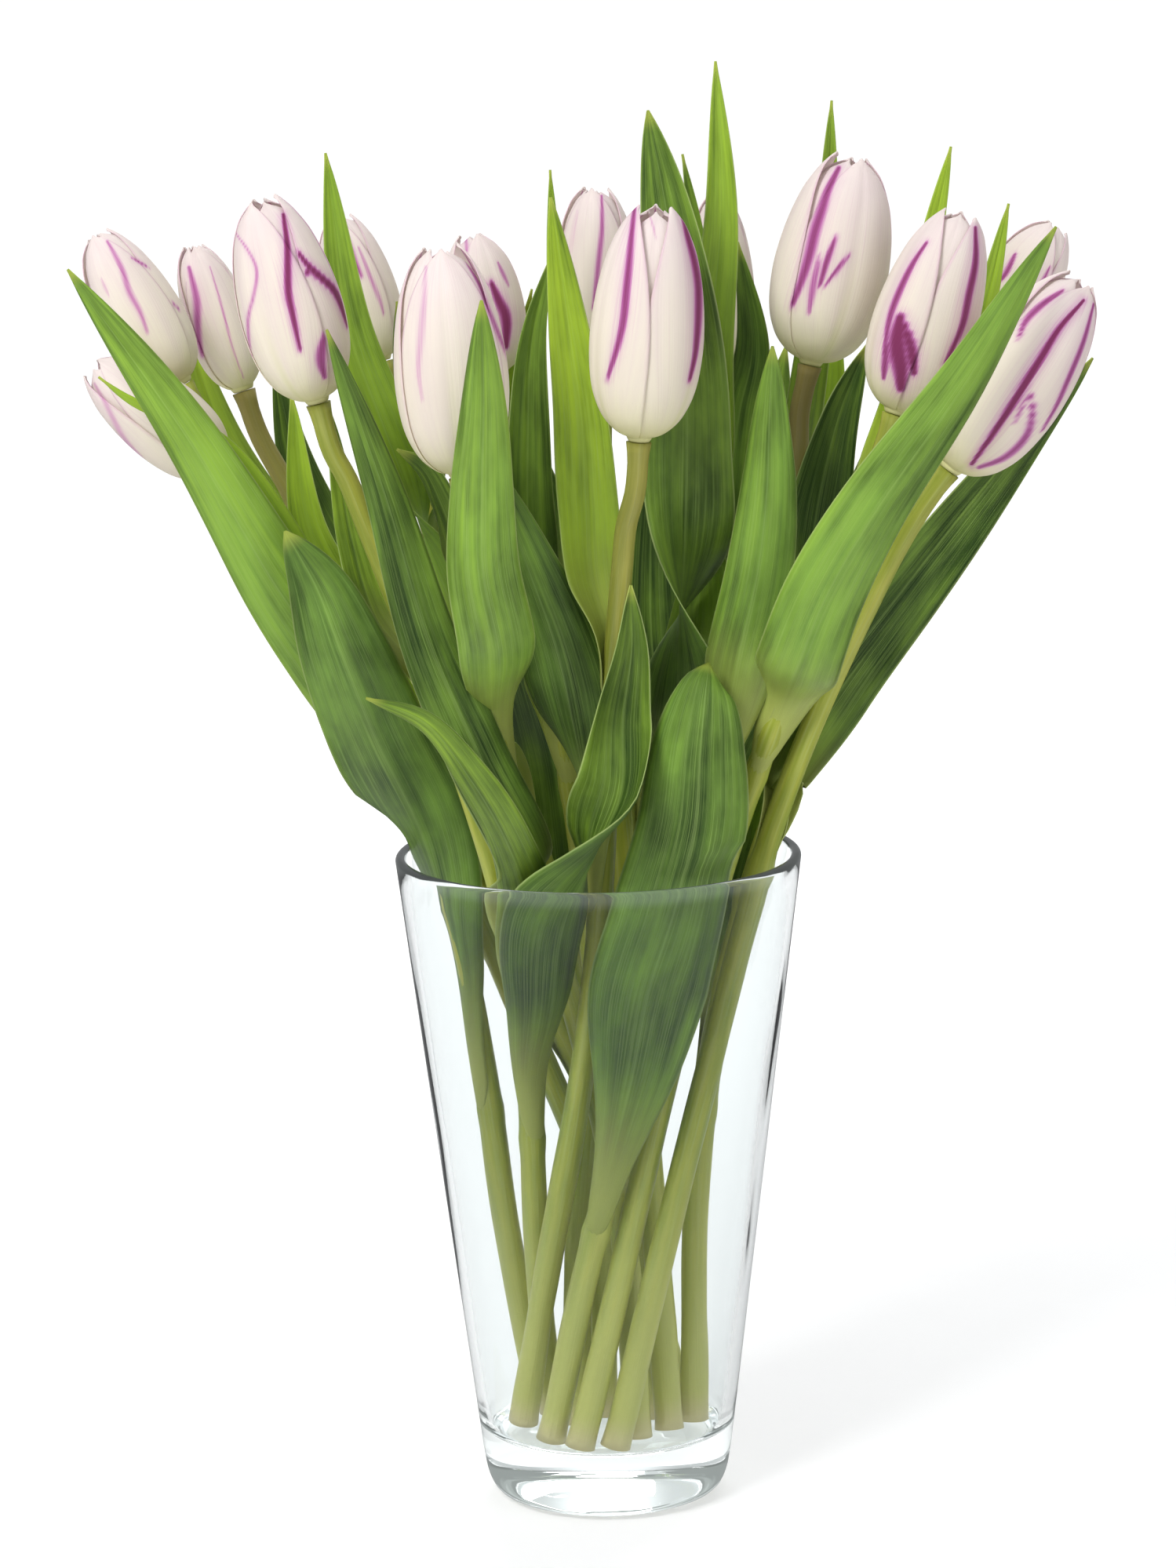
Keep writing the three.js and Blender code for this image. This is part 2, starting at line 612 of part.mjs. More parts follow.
// ---- assembly ----
function boxesMeet(a, b) {
  const boxA = a.boundingBox();
  const boxB = b.boundingBox();
  return [0, 1, 2].every((k) => boxA.min[k] <= boxB.max[k] && boxB.min[k] <= boxA.max[k]);
}

function trim(solid, obstacles) {
  let trimmed = solid;
  for (const obstacle of obstacles) {
    if (boxesMeet(trimmed, obstacle)) trimmed = trimmed.subtract(obstacle);
  }
  return trimmed;
}

function material(colour, roughness) {
  return new THREE.MeshStandardMaterial({ color: colour, roughness, metalness: 0 });
}

const bunch = new THREE.Group();

const vase = new THREE.Mesh(toGeometry(vaseSolid()), material(COLOURS.glass, 0.05));
vase.name = 'vase';
bunch.add(vase);

const names = Object.keys(TULIPS);
const curves = stemCurves();
const blooms = names.map((name, i) => bloomPlacement(TULIPS[name], curves[i]));

// What the leaves of one tulip are trimmed against: the glass, the other stems, every bloom,
// and the leaves of the tulips before it.
const wall = wallSolid();
const wideStems = curves.map((curve) => stemSolid(curve, CROSSING_CLEARANCE));
const wideBlooms = blooms.map((bloom) => {
  const matrix = new THREE.Matrix4().compose(bloom.position, bloom.quaternion, new THREE.Vector3(1, 1, 1));
  return bloomSolid(bloom.length, bloom.width, CROSSING_CLEARANCE).transform(matrix.toArray());
});
const leavesSoFar = [];

names.forEach((name, i) => {
  const bloom = new THREE.Mesh(
    toGeometry(bloomSolid(blooms[i].length, blooms[i].width, 0)), material(COLOURS.petal, 0.6));
  bloom.name = `bloom_${name}`;
  bloom.position.copy(blooms[i].position);
  bloom.quaternion.copy(blooms[i].quaternion);
  bunch.add(bloom);

  const obstacles = [wall, ...wideStems.filter((_, k) => k !== i), ...wideBlooms, ...leavesSoFar];
  let solid = stemSolid(curves[i], 0);
  const ownLeaves = [];
  for (const leaf of Object.values(TULIPS[name].leaves)) {
    const whole = leafSolid(leaf, curves[i], 0);
    solid = solid.add(trim(whole, obstacles));
    ownLeaves.push(leafSolid(leaf, curves[i], CROSSING_CLEARANCE));
  }
  leavesSoFar.push(...ownLeaves);
  const stem = new THREE.Mesh(toGeometry(largestBody(solid)), material(COLOURS.leaf, 0.55));
  stem.name = `stem_${name}`;
  bunch.add(stem);
});

export default bunch;
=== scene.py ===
"""Striped tulips in a clear tapered glass vase: the looks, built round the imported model.

The bunch is laid out in millimetres, on the upright plane through the vase's axis as it looks
from the viewing point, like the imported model. Blender's own values are metres. Angles are in
radians and colours are screen colours, where nothing else is said.
"""
import math
import random

import bpy
import numpy as np
from mathutils import Matrix, Vector


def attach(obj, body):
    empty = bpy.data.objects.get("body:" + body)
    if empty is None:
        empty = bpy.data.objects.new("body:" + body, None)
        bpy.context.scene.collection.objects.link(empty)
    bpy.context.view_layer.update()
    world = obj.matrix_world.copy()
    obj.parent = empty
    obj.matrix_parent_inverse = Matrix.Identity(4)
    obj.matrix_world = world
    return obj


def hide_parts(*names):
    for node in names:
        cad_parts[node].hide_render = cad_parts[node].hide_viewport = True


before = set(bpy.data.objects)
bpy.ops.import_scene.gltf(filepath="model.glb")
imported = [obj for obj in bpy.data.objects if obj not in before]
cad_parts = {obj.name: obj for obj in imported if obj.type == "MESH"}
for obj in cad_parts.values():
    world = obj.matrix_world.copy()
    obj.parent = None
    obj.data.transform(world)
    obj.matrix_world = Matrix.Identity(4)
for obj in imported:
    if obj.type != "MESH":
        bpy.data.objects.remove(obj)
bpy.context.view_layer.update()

# ---- driving dimensions, in millimetres ----
MM = 0.001
VASE_HEIGHT = 200
RIM_RADIUS = 61.5
HEEL_RADIUS = 38.3
HEEL_HEIGHT = 14
FOOT_RADIUS = 31
WALL = 3.2
LIP_RISE = 1.6                # height of the rounded lip
FLOOR_HEIGHT = 20
GAP = 0.3

STEM_RADIUS_LOW = 4.3
STEM_RADIUS_HIGH = 3.0
STEM_STEP = 13                # height between the rings that set a stem's course
STEM_SPACING = 10.6           # least distance between two stems' centres, on the level
NECK = 14                     # straight length under the bloom
NODE_SWELL = (0.45, 3.5)      # how far a stem swells where a leaf leaves it, and its reach
FOOT_SWELL = (0.35, 3.0)      # the same at its cut foot
NECK_SWELL = (0.7, 5)         # and under the bloom

SHEATH_LENGTH = 22            # length of leaf that clasps the stem
SHEATH_WRAP = 1.3             # half angle of the clasp, in radians
CHANNEL = 0.62                # half angle of an open leaf's hollow, in radians
GLASS_CLEARANCE = 1.8         # from the middle of a leaf to the glass
LIP_SPREAD = 0.04             # how fast a leaf may spread above the lip, in 1/mm
LEAF_THICKNESS = 0.6
KEEL = 0.5                    # how far the midrib stands out behind the leaf
PETAL_THICKNESS = 0.5
PETAL_HALF_ANGLE = 57         # in degrees
RECEPTACLE_HEIGHT = 5

GLASS_INDEX = 1.28            # lower than glass has, which keeps its edges light
GLASS_TINT = (0.9, 0.925, 0.925, 1.0)
# Painted light: emission strengths in the glass's thick foot and in its lip.
FOOT_PAINTED_LIGHT, LIP_PAINTED_LIGHT = 0.13, 0.04
# Painted light: emission strength that lightens the petals' shaded crevices and edges.
PETAL_PAINTED_LIGHT = 0.07
SKY = (0.48, 0.2)             # the soft sky's light ahead and to the sides
SKY_RISE = 0.4                # and how much more of it from above
SKY_MIRRORED = 0.7            # share of the sky that shows in smooth surfaces
SCREENS = (1.05, 0.42)        # light through the glass straight ahead, and at a slant
BACKDROP = 1.05               # light of the white background
FLOOR_GLOW = (0.9, 2.3, 0.4, 0.74)   # two distances in metres, and the floor's glow there
FLOOR_HALF = 4000
LAMP_TARGET = (0.0, 0.0, 0.28)
# Each lamp's place and its sides, in metres, and its power in watts.
LAMPS = {
    "key": ((-0.9, -1.2, 1.5), (0.7, 0.7), 35),
    "fill": ((1.3, -0.9, 0.7), (0.9, 0.9), 5),
    "back": ((0.3, 1.4, 1.1), (1.4, 1.0), 22),
}

VIEW_DISTANCE = 1500          # from the vase's axis to the camera
VIEW_HEIGHT = 513
VIEW_PITCH = 11.03            # degrees below the horizon
VIEW_ROLL = 0.9               # degrees
SENSOR = 36.0                 # the camera's sensor, in its own millimetres
FRAME_HEIGHT = 1999           # of the photograph, in pixels
FOCAL_PIXELS = 6465           # focal length in the same pixels
CENTRE_OFFSET = 11.66         # pixels from the frame's centre to the picture's own

# One row for each tulip: foot on the vase's floor, course of the stem up to the bloom, the
# bloom's tip, width and turn, and its leaves. A point is [across, up, depth] in the layout
# plane, and depth moves it along its line of sight. A leaf has the height where it leaves the
# stem, its width, the angle about the vertical that its inner face looks to, and its course. Its
# looks are its tone from dark to light, partly its own colour and partly painted shade, and its
# warmth from blue-green to yellow-green, partly its own colour and partly painted backlight.
# An unfurl above 2 keeps a leaf rolled for longer, a point above 2.6 makes its end blunter, a
# hollow above 1 channels it more, and turning says between which shares of its length it turns.
TULIPS = {
    "far_left": dict(
        foot=(25, 12), width=24, turn=20, tip=(-146, 389, 30), stem=[(16, 60, 14), (-4, 110, 12),
            (-26, 160, 15), (-48, 203, 20), (-72, 245, 22), (-95, 285, 23), (-112, 320, 24),
            (-121, 343, 25)], leaves={}),
    "low_left": dict(
        foot=(-21, 19), width=25, turn=70, tip=(-148, 350, 6), stem=[(-28, 60, 16), (-33, 95, 12),
            (-35, 124, 7), (-37, 160, 3), (-44, 198, 1), (-56, 225, 1), (-78, 262, 3), (-98, 296, 6),
            (-110, 318, 8)],
        leaves={
            "broad": dict(root=118, width=34, face=85, looks=(0.4, 0.1), unfurl=5, point=7,
                turning=(0.25, 0.6), course=[(-44, 168, 2), (-51, 201, -7), (-66, 235, -30),
                (-76, 262, -44), (-83, 282, -47), (-92, 299, -46)]),
            "long": dict(root=200, width=28, face=80, looks=(0.6, 0.3), course=[(-62, 236, -14),
                (-77, 256, -22), (-94, 281, -29), (-121, 329, -32), (-154, 378, -24)]),
            "slip": dict(root=226, width=10, face=80, looks=(0.8, 0.8), course=[(-92, 299, -16),
                (-111, 326, -17), (-137, 339, -18), (-146, 346, -18)])}),
    "back_left": dict(
        foot=(16, 5), width=20, turn=40, tip=(-117, 385, 52), stem=[(18, 60, 10), (5, 105, 14),
            (-15, 150, 20), (-35, 195, 28), (-55, 235, 36), (-75, 275, 43), (-92, 315, 48),
            (-103, 341, 50)],
        leaves={
            "narrow": dict(root=205, width=20, face=-90, looks=(0.6, 0.75), course=[(-74, 262, 52),
                (-92, 296, 62), (-108, 325, 68), (-123, 370, 72)]),
            "rear": dict(root=112, width=34, face=-100, looks=(0.2, 0.2), unfurl=6,
                course=[(-22, 150, 34), (-34, 192, 36), (-45, 226, 46), (-62, 262, 72), (-86, 314, 98),
                (-94, 350, 106)])}),
    "left": dict(
        foot=(-17, 10), width=31, turn=0, tip=(-97, 399, -40), stem=[(-23, 60, 2), (-21, 104, -4),
            (-20, 130, -8), (-22, 165, -16), (-28, 195, -24), (-38, 222, -30), (-48, 248, -34),
            (-65, 293, -36), (-74, 317, -37), (-81, 337, -38)],
        leaves={
            "curled": dict(root=112, width=40, face=-90, looks=(0.3, 0.15), unfurl=4, hollow=2,
                turning=(0.4, 0.8), course=[(-15, 152, -32), (-11, 178, -46), (-1, 200, -53),
                (7, 218, -52), (8, 240, -46), (11, 262, -51), (11, 281, -56)]),
            "long": dict(root=168, width=22, face=95, looks=(0.3, 0.25), course=[(-20, 196, -41),
                (-35, 229, -50), (-49, 263, -52), (-62, 310, -58), (-78, 359, -58)]),
            "horn": dict(root=150, width=18, face=70, looks=(0.4, 0.6), course=[(-22, 186, -40),
                (-28, 205, -56), (-38, 223, -64), (-51, 240, -64), (-69, 248, -60)]),
            "strip": dict(root=240, width=13, face=-80, looks=(0.35, 0.5), course=[(-65, 272, -22),
                (-72, 296, -20), (-78, 336, -16)])}),
    "back_mid_left": dict(
        foot=(9, 22), width=22, turn=10, tip=(-74, 393, 76), stem=[(10, 60, 24), (4, 110, 26),
            (-6, 160, 30), (-18, 205, 36), (-32, 245, 44), (-45, 285, 55), (-56, 325, 66),
            (-62, 349, 72)],
        leaves={
            "tall": dict(root=228, width=22, face=-70, looks=(0.65, 0.35), course=[(-48, 292, 34),
                (-61, 328, 28), (-71, 359, 26), (-77, 411, 26)]),
            "strip": dict(root=196, width=20, face=-85, looks=(0.6, 0.6), course=[(-43, 238, 17),
                (-68, 270, 17), (-84, 297, 20), (-89, 340, 24)]),
            "slip": dict(root=262, width=15, face=-90, looks=(0.3, 0.1), course=[(-49, 320, 44),
                (-55, 347, 42), (-57, 367, 42)]),
            "rear": dict(root=122, width=32, face=-90, looks=(0.15, 0.2), unfurl=4,
                course=[(-7, 160, 43), (-8, 195, 48), (-11, 226, 58), (-20, 260, 84), (-33, 305, 104),
                (-40, 340, 112)])}),
    "front_left": dict(
        foot=(9, -17), width=34, turn=30, tip=(-44, 384, -62), stem=[(10, 60, -14), (6, 100, -9),
            (-2, 135, -6), (-12, 165, -7), (-21, 195, -12), (-30, 228, -32), (-35, 255, -46),
            (-37, 290, -54), (-39, 314, -58)],
        leaves={
            "front": dict(root=226, width=25, face=90, looks=(0.5, 0.3), unfurl=3, point=3.2,
                course=[(-29, 262, -72), (-33, 286, -81), (-33, 310, -82), (-32, 337, -86),
                (-32, 367, -85)]),
            "curl": dict(root=255, width=18, face=60, looks=(0.25, 0.6), course=[(-40, 292, -40),
                (-45, 307, -35), (-50, 317, -32), (-58, 323, -32)])}),
    "mid_left": dict(
        foot=(-1, 8), width=24, turn=55, tip=(-34, 387, 40), stem=[(-1, 60, 8), (0, 100, 12),
            (0, 150, 16), (-4, 200, 22), (-10, 240, 26), (-18, 280, 32), (-25, 320, 36),
            (-29, 344, 38)],
        leaves={
            "broad": dict(root=215, width=20, face=-80, looks=(0.35, 0.15), course=[(-15, 262, 4),
                (-19, 295, -4), (-19, 325, -8), (-17, 356, -9), (-11, 380, -9)]),
            "slip": dict(root=248, width=18, face=-95, looks=(0.15, 0.1), point=5,
                course=[(-12, 285, 14), (-15, 306, 10), (-20, 329, 8)]),
            "bright": dict(root=236, width=15, face=-60, looks=(0.7, 0.9), course=[(-22, 305, 46),
                (-24, 338, 48), (-21, 353, 48), (-17, 370, 46)])}),
    "back_mid": dict(
        foot=(19, -11), width=25, turn=15, tip=(2, 400, 48), stem=[(17, 60, -4), (14, 110, 4),
            (10, 155, 10), (6, 205, 18), (4, 250, 26), (3, 300, 36), (3, 347, 44)],
        leaves={
            "slip": dict(root=262, width=10, face=-90, looks=(0.6, 0.5), course=[(-6, 335, 16),
                (-10, 375, 12), (-11, 405, 10)]),
            "rear": dict(root=116, width=34, face=-90, looks=(0.15, 0.1), unfurl=4.5,
                course=[(16, 158, 38), (23, 195, 45), (22, 228, 56), (17, 262, 80), (18, 312, 104),
                (22, 352, 112)])}),
    "front_mid": dict(
        foot=(-26, -2), width=34, turn=90, tip=(20, 395, -58), stem=[(-21, 60, -8), (-13, 90, -14),
            (-3, 140, -22), (2, 180, -26), (3, 230, -33), (5, 269, -42), (8, 287, -47), (11, 306, -52),
            (14, 324, -55)],
        leaves={
            "broad": dict(root=186, width=32, face=85, looks=(0.3, 0.15), unfurl=3,
                course=[(-3, 218, -34), (-7, 242, -38), (-12, 264, -41), (-20, 288, -43),
                (-31, 320, -44)]),
            "tall": dict(root=250, width=21, face=-95, looks=(0.6, 0.85), course=[(-1, 284, -36),
                (-2, 306, -38), (-3, 332, -39), (-6, 357, -38), (-11, 397, -35)])}),
    "back_mid_right": dict(
        foot=(-9, 0), width=20, turn=35, tip=(38, 398, 44), stem=[(-10, 60, -2), (-6, 110, 3),
            (2, 150, 5), (14, 195, 5), (24, 235, 11), (32, 275, 22), (38, 315, 34), (40, 344, 40)],
        leaves={
            "broad": dict(root=196, width=30, face=-92, looks=(0.35, 0.1), point=4.5,
                course=[(24, 240, -9), (26, 270, -20), (28, 310, -27), (28, 348, -28), (24, 386, -26),
                (18, 422, -18)]),
            "tall": dict(root=222, width=20, face=-85, looks=(0.6, 0.45), course=[(31, 270, -2),
                (33, 310, -8), (35, 350, -10), (39, 390, -10), (38, 436, -8)]),
            "slip": dict(root=238, width=12, face=-90, looks=(0.35, 0.2), course=[(34, 300, 12),
                (34, 350, 8), (32, 384, 6), (28, 409, 4)]),
            "wavy": dict(root=236, width=20, face=-90, looks=(0.25, 0), course=[(40, 285, 8),
                (41, 308, 10), (44, 332, 13), (48, 352, 15), (44, 383, 17)]),
            "rear": dict(root=190, width=32, face=-95, looks=(0.3, 0.2), course=[(26, 236, 38),
                (38, 272, 70), (52, 320, 92), (58, 352, 98)])}),
    "right": dict(
        foot=(-17, -20), width=34, turn=50, tip=(79, 408, 2), stem=[(-10, 45, -20), (-1, 86, -26),
            (8, 123, -32), (20, 165, -36), (29, 205, -36), (40, 240, -30), (52, 275, -20),
            (60, 310, -10), (65, 346, -2)],
        leaves={
            "front": dict(root=88, width=37, face=95, looks=(0.4, 0.15), unfurl=4, point=8,
                course=[(9, 130, -42), (14, 155, -47), (22, 180, -50), (29, 206, -52), (31, 230, -52),
                (33, 249, -49), (34, 257, -39)]),
            "near": dict(root=222, width=23, face=80, looks=(0.5, 0.2), point=3.4,
                course=[(43, 258, -37), (49, 284, -43), (52, 308, -47), (53, 330, -47),
                (54, 352, -41)]),
            "slip": dict(root=285, width=13, face=-90, looks=(0.5, 0.35), course=[(64, 338, 22),
                (70, 385, 25), (72, 424, 20)])}),
    "right_front": dict(
        foot=(-8, -28), width=31, turn=85, tip=(110, 391, -25), stem=[(4, 70, -25), (14, 110, -18),
            (26, 155, -20), (36, 195, -24), (45, 222, -30), (57, 247, -34), (68, 272, -32),
            (80, 302, -29), (90, 331, -27)],
        leaves={
            "broad": dict(root=228, width=27, face=110, looks=(0.6, 0.2), course=[(60, 254, -53),
                (69, 276, -62), (84, 302, -70), (112, 342, -72), (138, 386, -62)]),
            "slip": dict(root=285, width=14, face=-90, looks=(0.7, 0.7), course=[(94, 342, -4),
                (101, 382, -2), (107, 410, 2)]),
            "dark": dict(root=240, width=25, face=-80, looks=(0.1, 0.35), course=[(64, 284, -27),
                (68, 308, -20), (74, 332, -16), (82, 352, -14)])}),
    "far_right": dict(
        foot=(27, -1), width=24, turn=0, tip=(138, 387, 38), stem=[(26, 80, 4), (28, 115, 4),
            (34, 155, 6), (44, 190, 10), (58, 225, 16), (76, 262, 22), (94, 300, 28), (108, 330, 33),
            (116, 348, 35)],
        leaves={
            "slip": dict(root=285, width=12, face=-95, looks=(0.7, 0.5), course=[(106, 335, 12),
                (116, 360, 9), (124, 393, 6)]),
            "strip": dict(root=222, width=27, face=-85, looks=(0.6, 0.9), course=[(62, 275, 20),
                (66, 312, 33), (69, 345, 42), (72, 372, 46)]),
            "rear": dict(root=118, width=30, face=-110, looks=(0.25, 0.2), unfurl=6,
                course=[(35, 158, 23), (37, 190, 28), (44, 220, 36), (60, 256, 60), (84, 312, 84),
                (94, 350, 92)])}),
    "low_right": dict(
        foot=(2, -28), width=34, turn=40, tip=(147, 371, -42), stem=[(11, 50, -27), (22, 95, -25),
            (31, 125, -23), (41, 165, -20), (47, 200, -17), (54, 218, -17), (67, 247, -22),
            (82, 276, -30), (95, 298, -36), (106, 314, -39)],
        leaves={
            "long": dict(root=197, width=29, face=-60, looks=(0.25, 0.05), unfurl=3,
                course=[(54, 220, -9), (66, 243, -12), (93, 279, -11), (121, 314, -8), (149, 347, -6)]),
            "low": dict(root=198, width=15, face=180, looks=(0.5, 0.2), course=[(65, 236, -10),
                (70, 250, -6)])}),
}

UP = np.array([0.0, 0.0, 1.0])
LEAF_ROWS, LEAF_COLUMNS = 64, 12
STEM_SIDES = 18
STEM_RING = 3.0               # millimetres between a stem's rings
PETAL_ROWS, PETAL_COLUMNS = 80, 46
VASE_SIDES, WALL_STEPS, LIP_STEPS = 128, 24, 12
SETTLING_ROUNDS, STRAIGHTENING = 150, 0.06


# ---- small helpers ----
def mix(a, b, t):
    return a + (b - a) * t


def smooth(a, b, x):
    """0 below a, 1 above b, and a smooth step between them."""
    t = np.clip((x - a) / (b - a), 0.0, 1.0)
    return t * t * (3.0 - 2.0 * t)


def unit(v):
    v = np.asarray(v, float)
    return v / np.linalg.norm(v, axis=-1, keepdims=True)


def place(point):
    """A layout point in space."""
    across, up, depth = point
    scale = 1.0 + depth / VIEW_DISTANCE
    return np.array([across * scale, depth, VIEW_HEIGHT + (up - VIEW_HEIGHT) * scale])


def lay_out(points):
    """The layout's across and up of points in space."""
    scale = 1.0 + points[..., 1] / VIEW_DISTANCE
    return np.stack([points[..., 0] / scale, VIEW_HEIGHT + (points[..., 2] - VIEW_HEIGHT) / scale], -1)


def outer_radius(height):
    return mix(HEEL_RADIUS, RIM_RADIUS, (height - HEEL_HEIGHT) / (VASE_HEIGHT - HEEL_HEIGHT))


class Curve:
    """A smooth curve through points, read by its share of length."""

    def __init__(self, points, per_span=24):
        p = [np.asarray(q, float) for q in points]
        p = [2 * p[0] - p[1], *p, 2 * p[-1] - p[-2]]
        samples = []
        for i in range(1, len(p) - 2):
            samples.extend(self.span(p[i - 1:i + 3], per_span))
        samples.append(p[-2])
        self.samples = np.array(samples)
        steps = np.linalg.norm(np.diff(self.samples, axis=0), axis=1)
        self.reach = np.concatenate([[0.0], np.cumsum(steps)])
        self.length = self.reach[-1]

    @staticmethod
    def span(p, count):
        d = [max(np.linalg.norm(p[k + 1] - p[k]) ** 0.5, 1e-4) for k in range(3)]
        a = (p[1] - p[0]) / d[0] - (p[2] - p[0]) / (d[0] + d[1]) + (p[2] - p[1]) / d[1]
        b = (p[2] - p[1]) / d[1] - (p[3] - p[1]) / (d[1] + d[2]) + (p[3] - p[2]) / d[2]
        a, b = a * d[1], b * d[1]
        for k in range(count):
            t = k / count
            yield (p[1] + a * t + (-3 * p[1] + 3 * p[2] - 2 * a - b) * t * t
                   + (2 * p[1] - 2 * p[2] + a + b) * t ** 3)

    def at(self, share):
        goal = np.asarray(share) * self.length
        return np.stack([np.interp(goal, self.reach, self.samples[:, k]) for k in range(3)], -1)

    def along(self, share):
        share = np.asarray(share, float)
        step = 0.004
        low, high = np.maximum(share - step, 0.0), np.minimum(share + step, 1.0)
        return unit(self.at(high) - self.at(low))

    def at_height(self, height):
        z = self.samples[:, 2]
        return np.array([np.interp(height, z, self.samples[:, k]) for k in range(3)])


# ---- meshes ----
def make_object(name, points, faces, material, uvs=None, marks=None):
    """A smooth mesh object from points in millimetres. uvs and marks hold one value a point."""
    mesh = bpy.data.meshes.new(name)
    mesh.from_pydata([tuple(p) for p in np.asarray(points) * MM], [], faces)
    mesh.polygons.foreach_set("use_smooth", [True] * len(mesh.polygons))
    if uvs is not None:
        layer = mesh.uv_layers.new(name="Along")
        corners = np.empty(len(mesh.loops), dtype=np.int32)
        mesh.loops.foreach_get("vertex_index", corners)
        layer.data.foreach_set("uv", np.asarray(uvs, float)[corners].ravel())
    for label, values in (marks or {}).items():
        attribute = mesh.attributes.new(label, "FLOAT", "POINT")
        attribute.data.foreach_set("value", np.broadcast_to(values, len(points)).astype(float).ravel())
    mesh.materials.append(material)
    piece = bpy.data.objects.new(name, mesh)
    bpy.context.scene.collection.objects.link(piece)
    return piece


def dress(piece, node):
    """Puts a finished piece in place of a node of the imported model."""
    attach(piece, "root")
    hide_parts(node)


def grid_normals(grid):
    along = np.gradient(grid, axis=0)
    across = np.gradient(grid, axis=1)
    return unit(np.cross(across, along) + 1e-12)


def blade(grid, thickness, thinning):
    """Points, faces and coordinates of a closed blade round a grid of middle points. It is
    thinner at its margins, by a share of its thickness."""
    rows, columns = grid.shape[:2]
    across = np.linspace(-1.0, 1.0, columns)
    half = thickness * (1 - thinning * np.abs(across) ** 4) / 2
    offset = grid_normals(grid) * half[:, None]
    points = np.concatenate([(grid + offset).reshape(-1, 3), (grid - offset).reshape(-1, 3)])
    uvs = np.stack(np.meshgrid(across / 2 + 0.5, np.linspace(0.0, 1.0, rows)), -1).reshape(-1, 2)
    count = rows * columns
    faces = []
    for i in range(rows - 1):
        for j in range(columns - 1):
            a = i * columns + j
            faces.append((a, a + 1, a + columns + 1, a + columns))
            faces.append((count + a, count + a + columns, count + a + columns + 1, count + a + 1))
        left, right = i * columns, (i + 1) * columns - 1
        faces.append((left, left + columns, count + left + columns, count + left))
        faces.append((right + columns, right, count + right, count + right + columns))
    last = (rows - 1) * columns
    for j in range(columns - 1):
        faces.append((j + 1, j, count + j, count + j + 1))
        faces.append((last + j, last + j + 1, count + last + j + 1, count + last + j))
    return points, faces, np.tile(uvs, (2, 1))


def ring_faces(rings, sides):
    """Faces between rings of points that follow each other."""
    faces = []
    for i in range(rings - 1):
        for j in range(sides):
            a, b = i * sides + j, i * sides + (j + 1) % sides
            faces.append((a, b, b + sides, a + sides))
    return faces


def turned(profile, sides):
    """Points and faces of a closed turned solid. The profile starts and ends on the axis."""
    ring = profile[1:-1]
    angles = np.arange(sides) * 2 * math.pi / sides
    points = [(r * math.cos(a), r * math.sin(a), z) for r, z in ring for a in angles]
    faces = ring_faces(len(ring), sides)
    first, last = len(points), len(points) + 1
    points += [(0, 0, profile[0][1]), (0, 0, profile[-1][1])]
    top = (len(ring) - 1) * sides
    for j in range(sides):
        faces.append((first, (j + 1) % sides, j))
        faces.append((last, top + j, top + (j + 1) % sides))
    return points, faces


def tube(centres, tangents, radii, sides):
    """Points and faces of a round tube with closed ends, twisting as little as it can."""
    side = unit(np.cross(tangents[0], [0.0, 1.0, 0.1]))
    points = []
    for centre, tangent, radius in zip(centres, tangents, radii):
        side = unit(side - tangent * np.dot(side, tangent))
        other = np.cross(tangent, side)
        for j in range(sides):
            a = 2 * math.pi * j / sides
            points.append(centre + radius * (side * math.cos(a) + other * math.sin(a)))
    faces = ring_faces(len(centres), sides)
    faces.append(tuple(range(sides - 1, -1, -1)))
    faces.append(tuple(range(len(points) - sides, len(points))))
    return points, faces


# ---- materials ----
def colour(hexadecimal):
    """A linear colour from a screen colour such as 7a9b52."""
    values = [int(hexadecimal[k:k + 2], 16) / 255 for k in (0, 2, 4)]
    linear = [v / 12.92 if v <= 0.04045 else ((v + 0.055) / 1.055) ** 2.4 for v in values]
    return (*linear, 1.0)


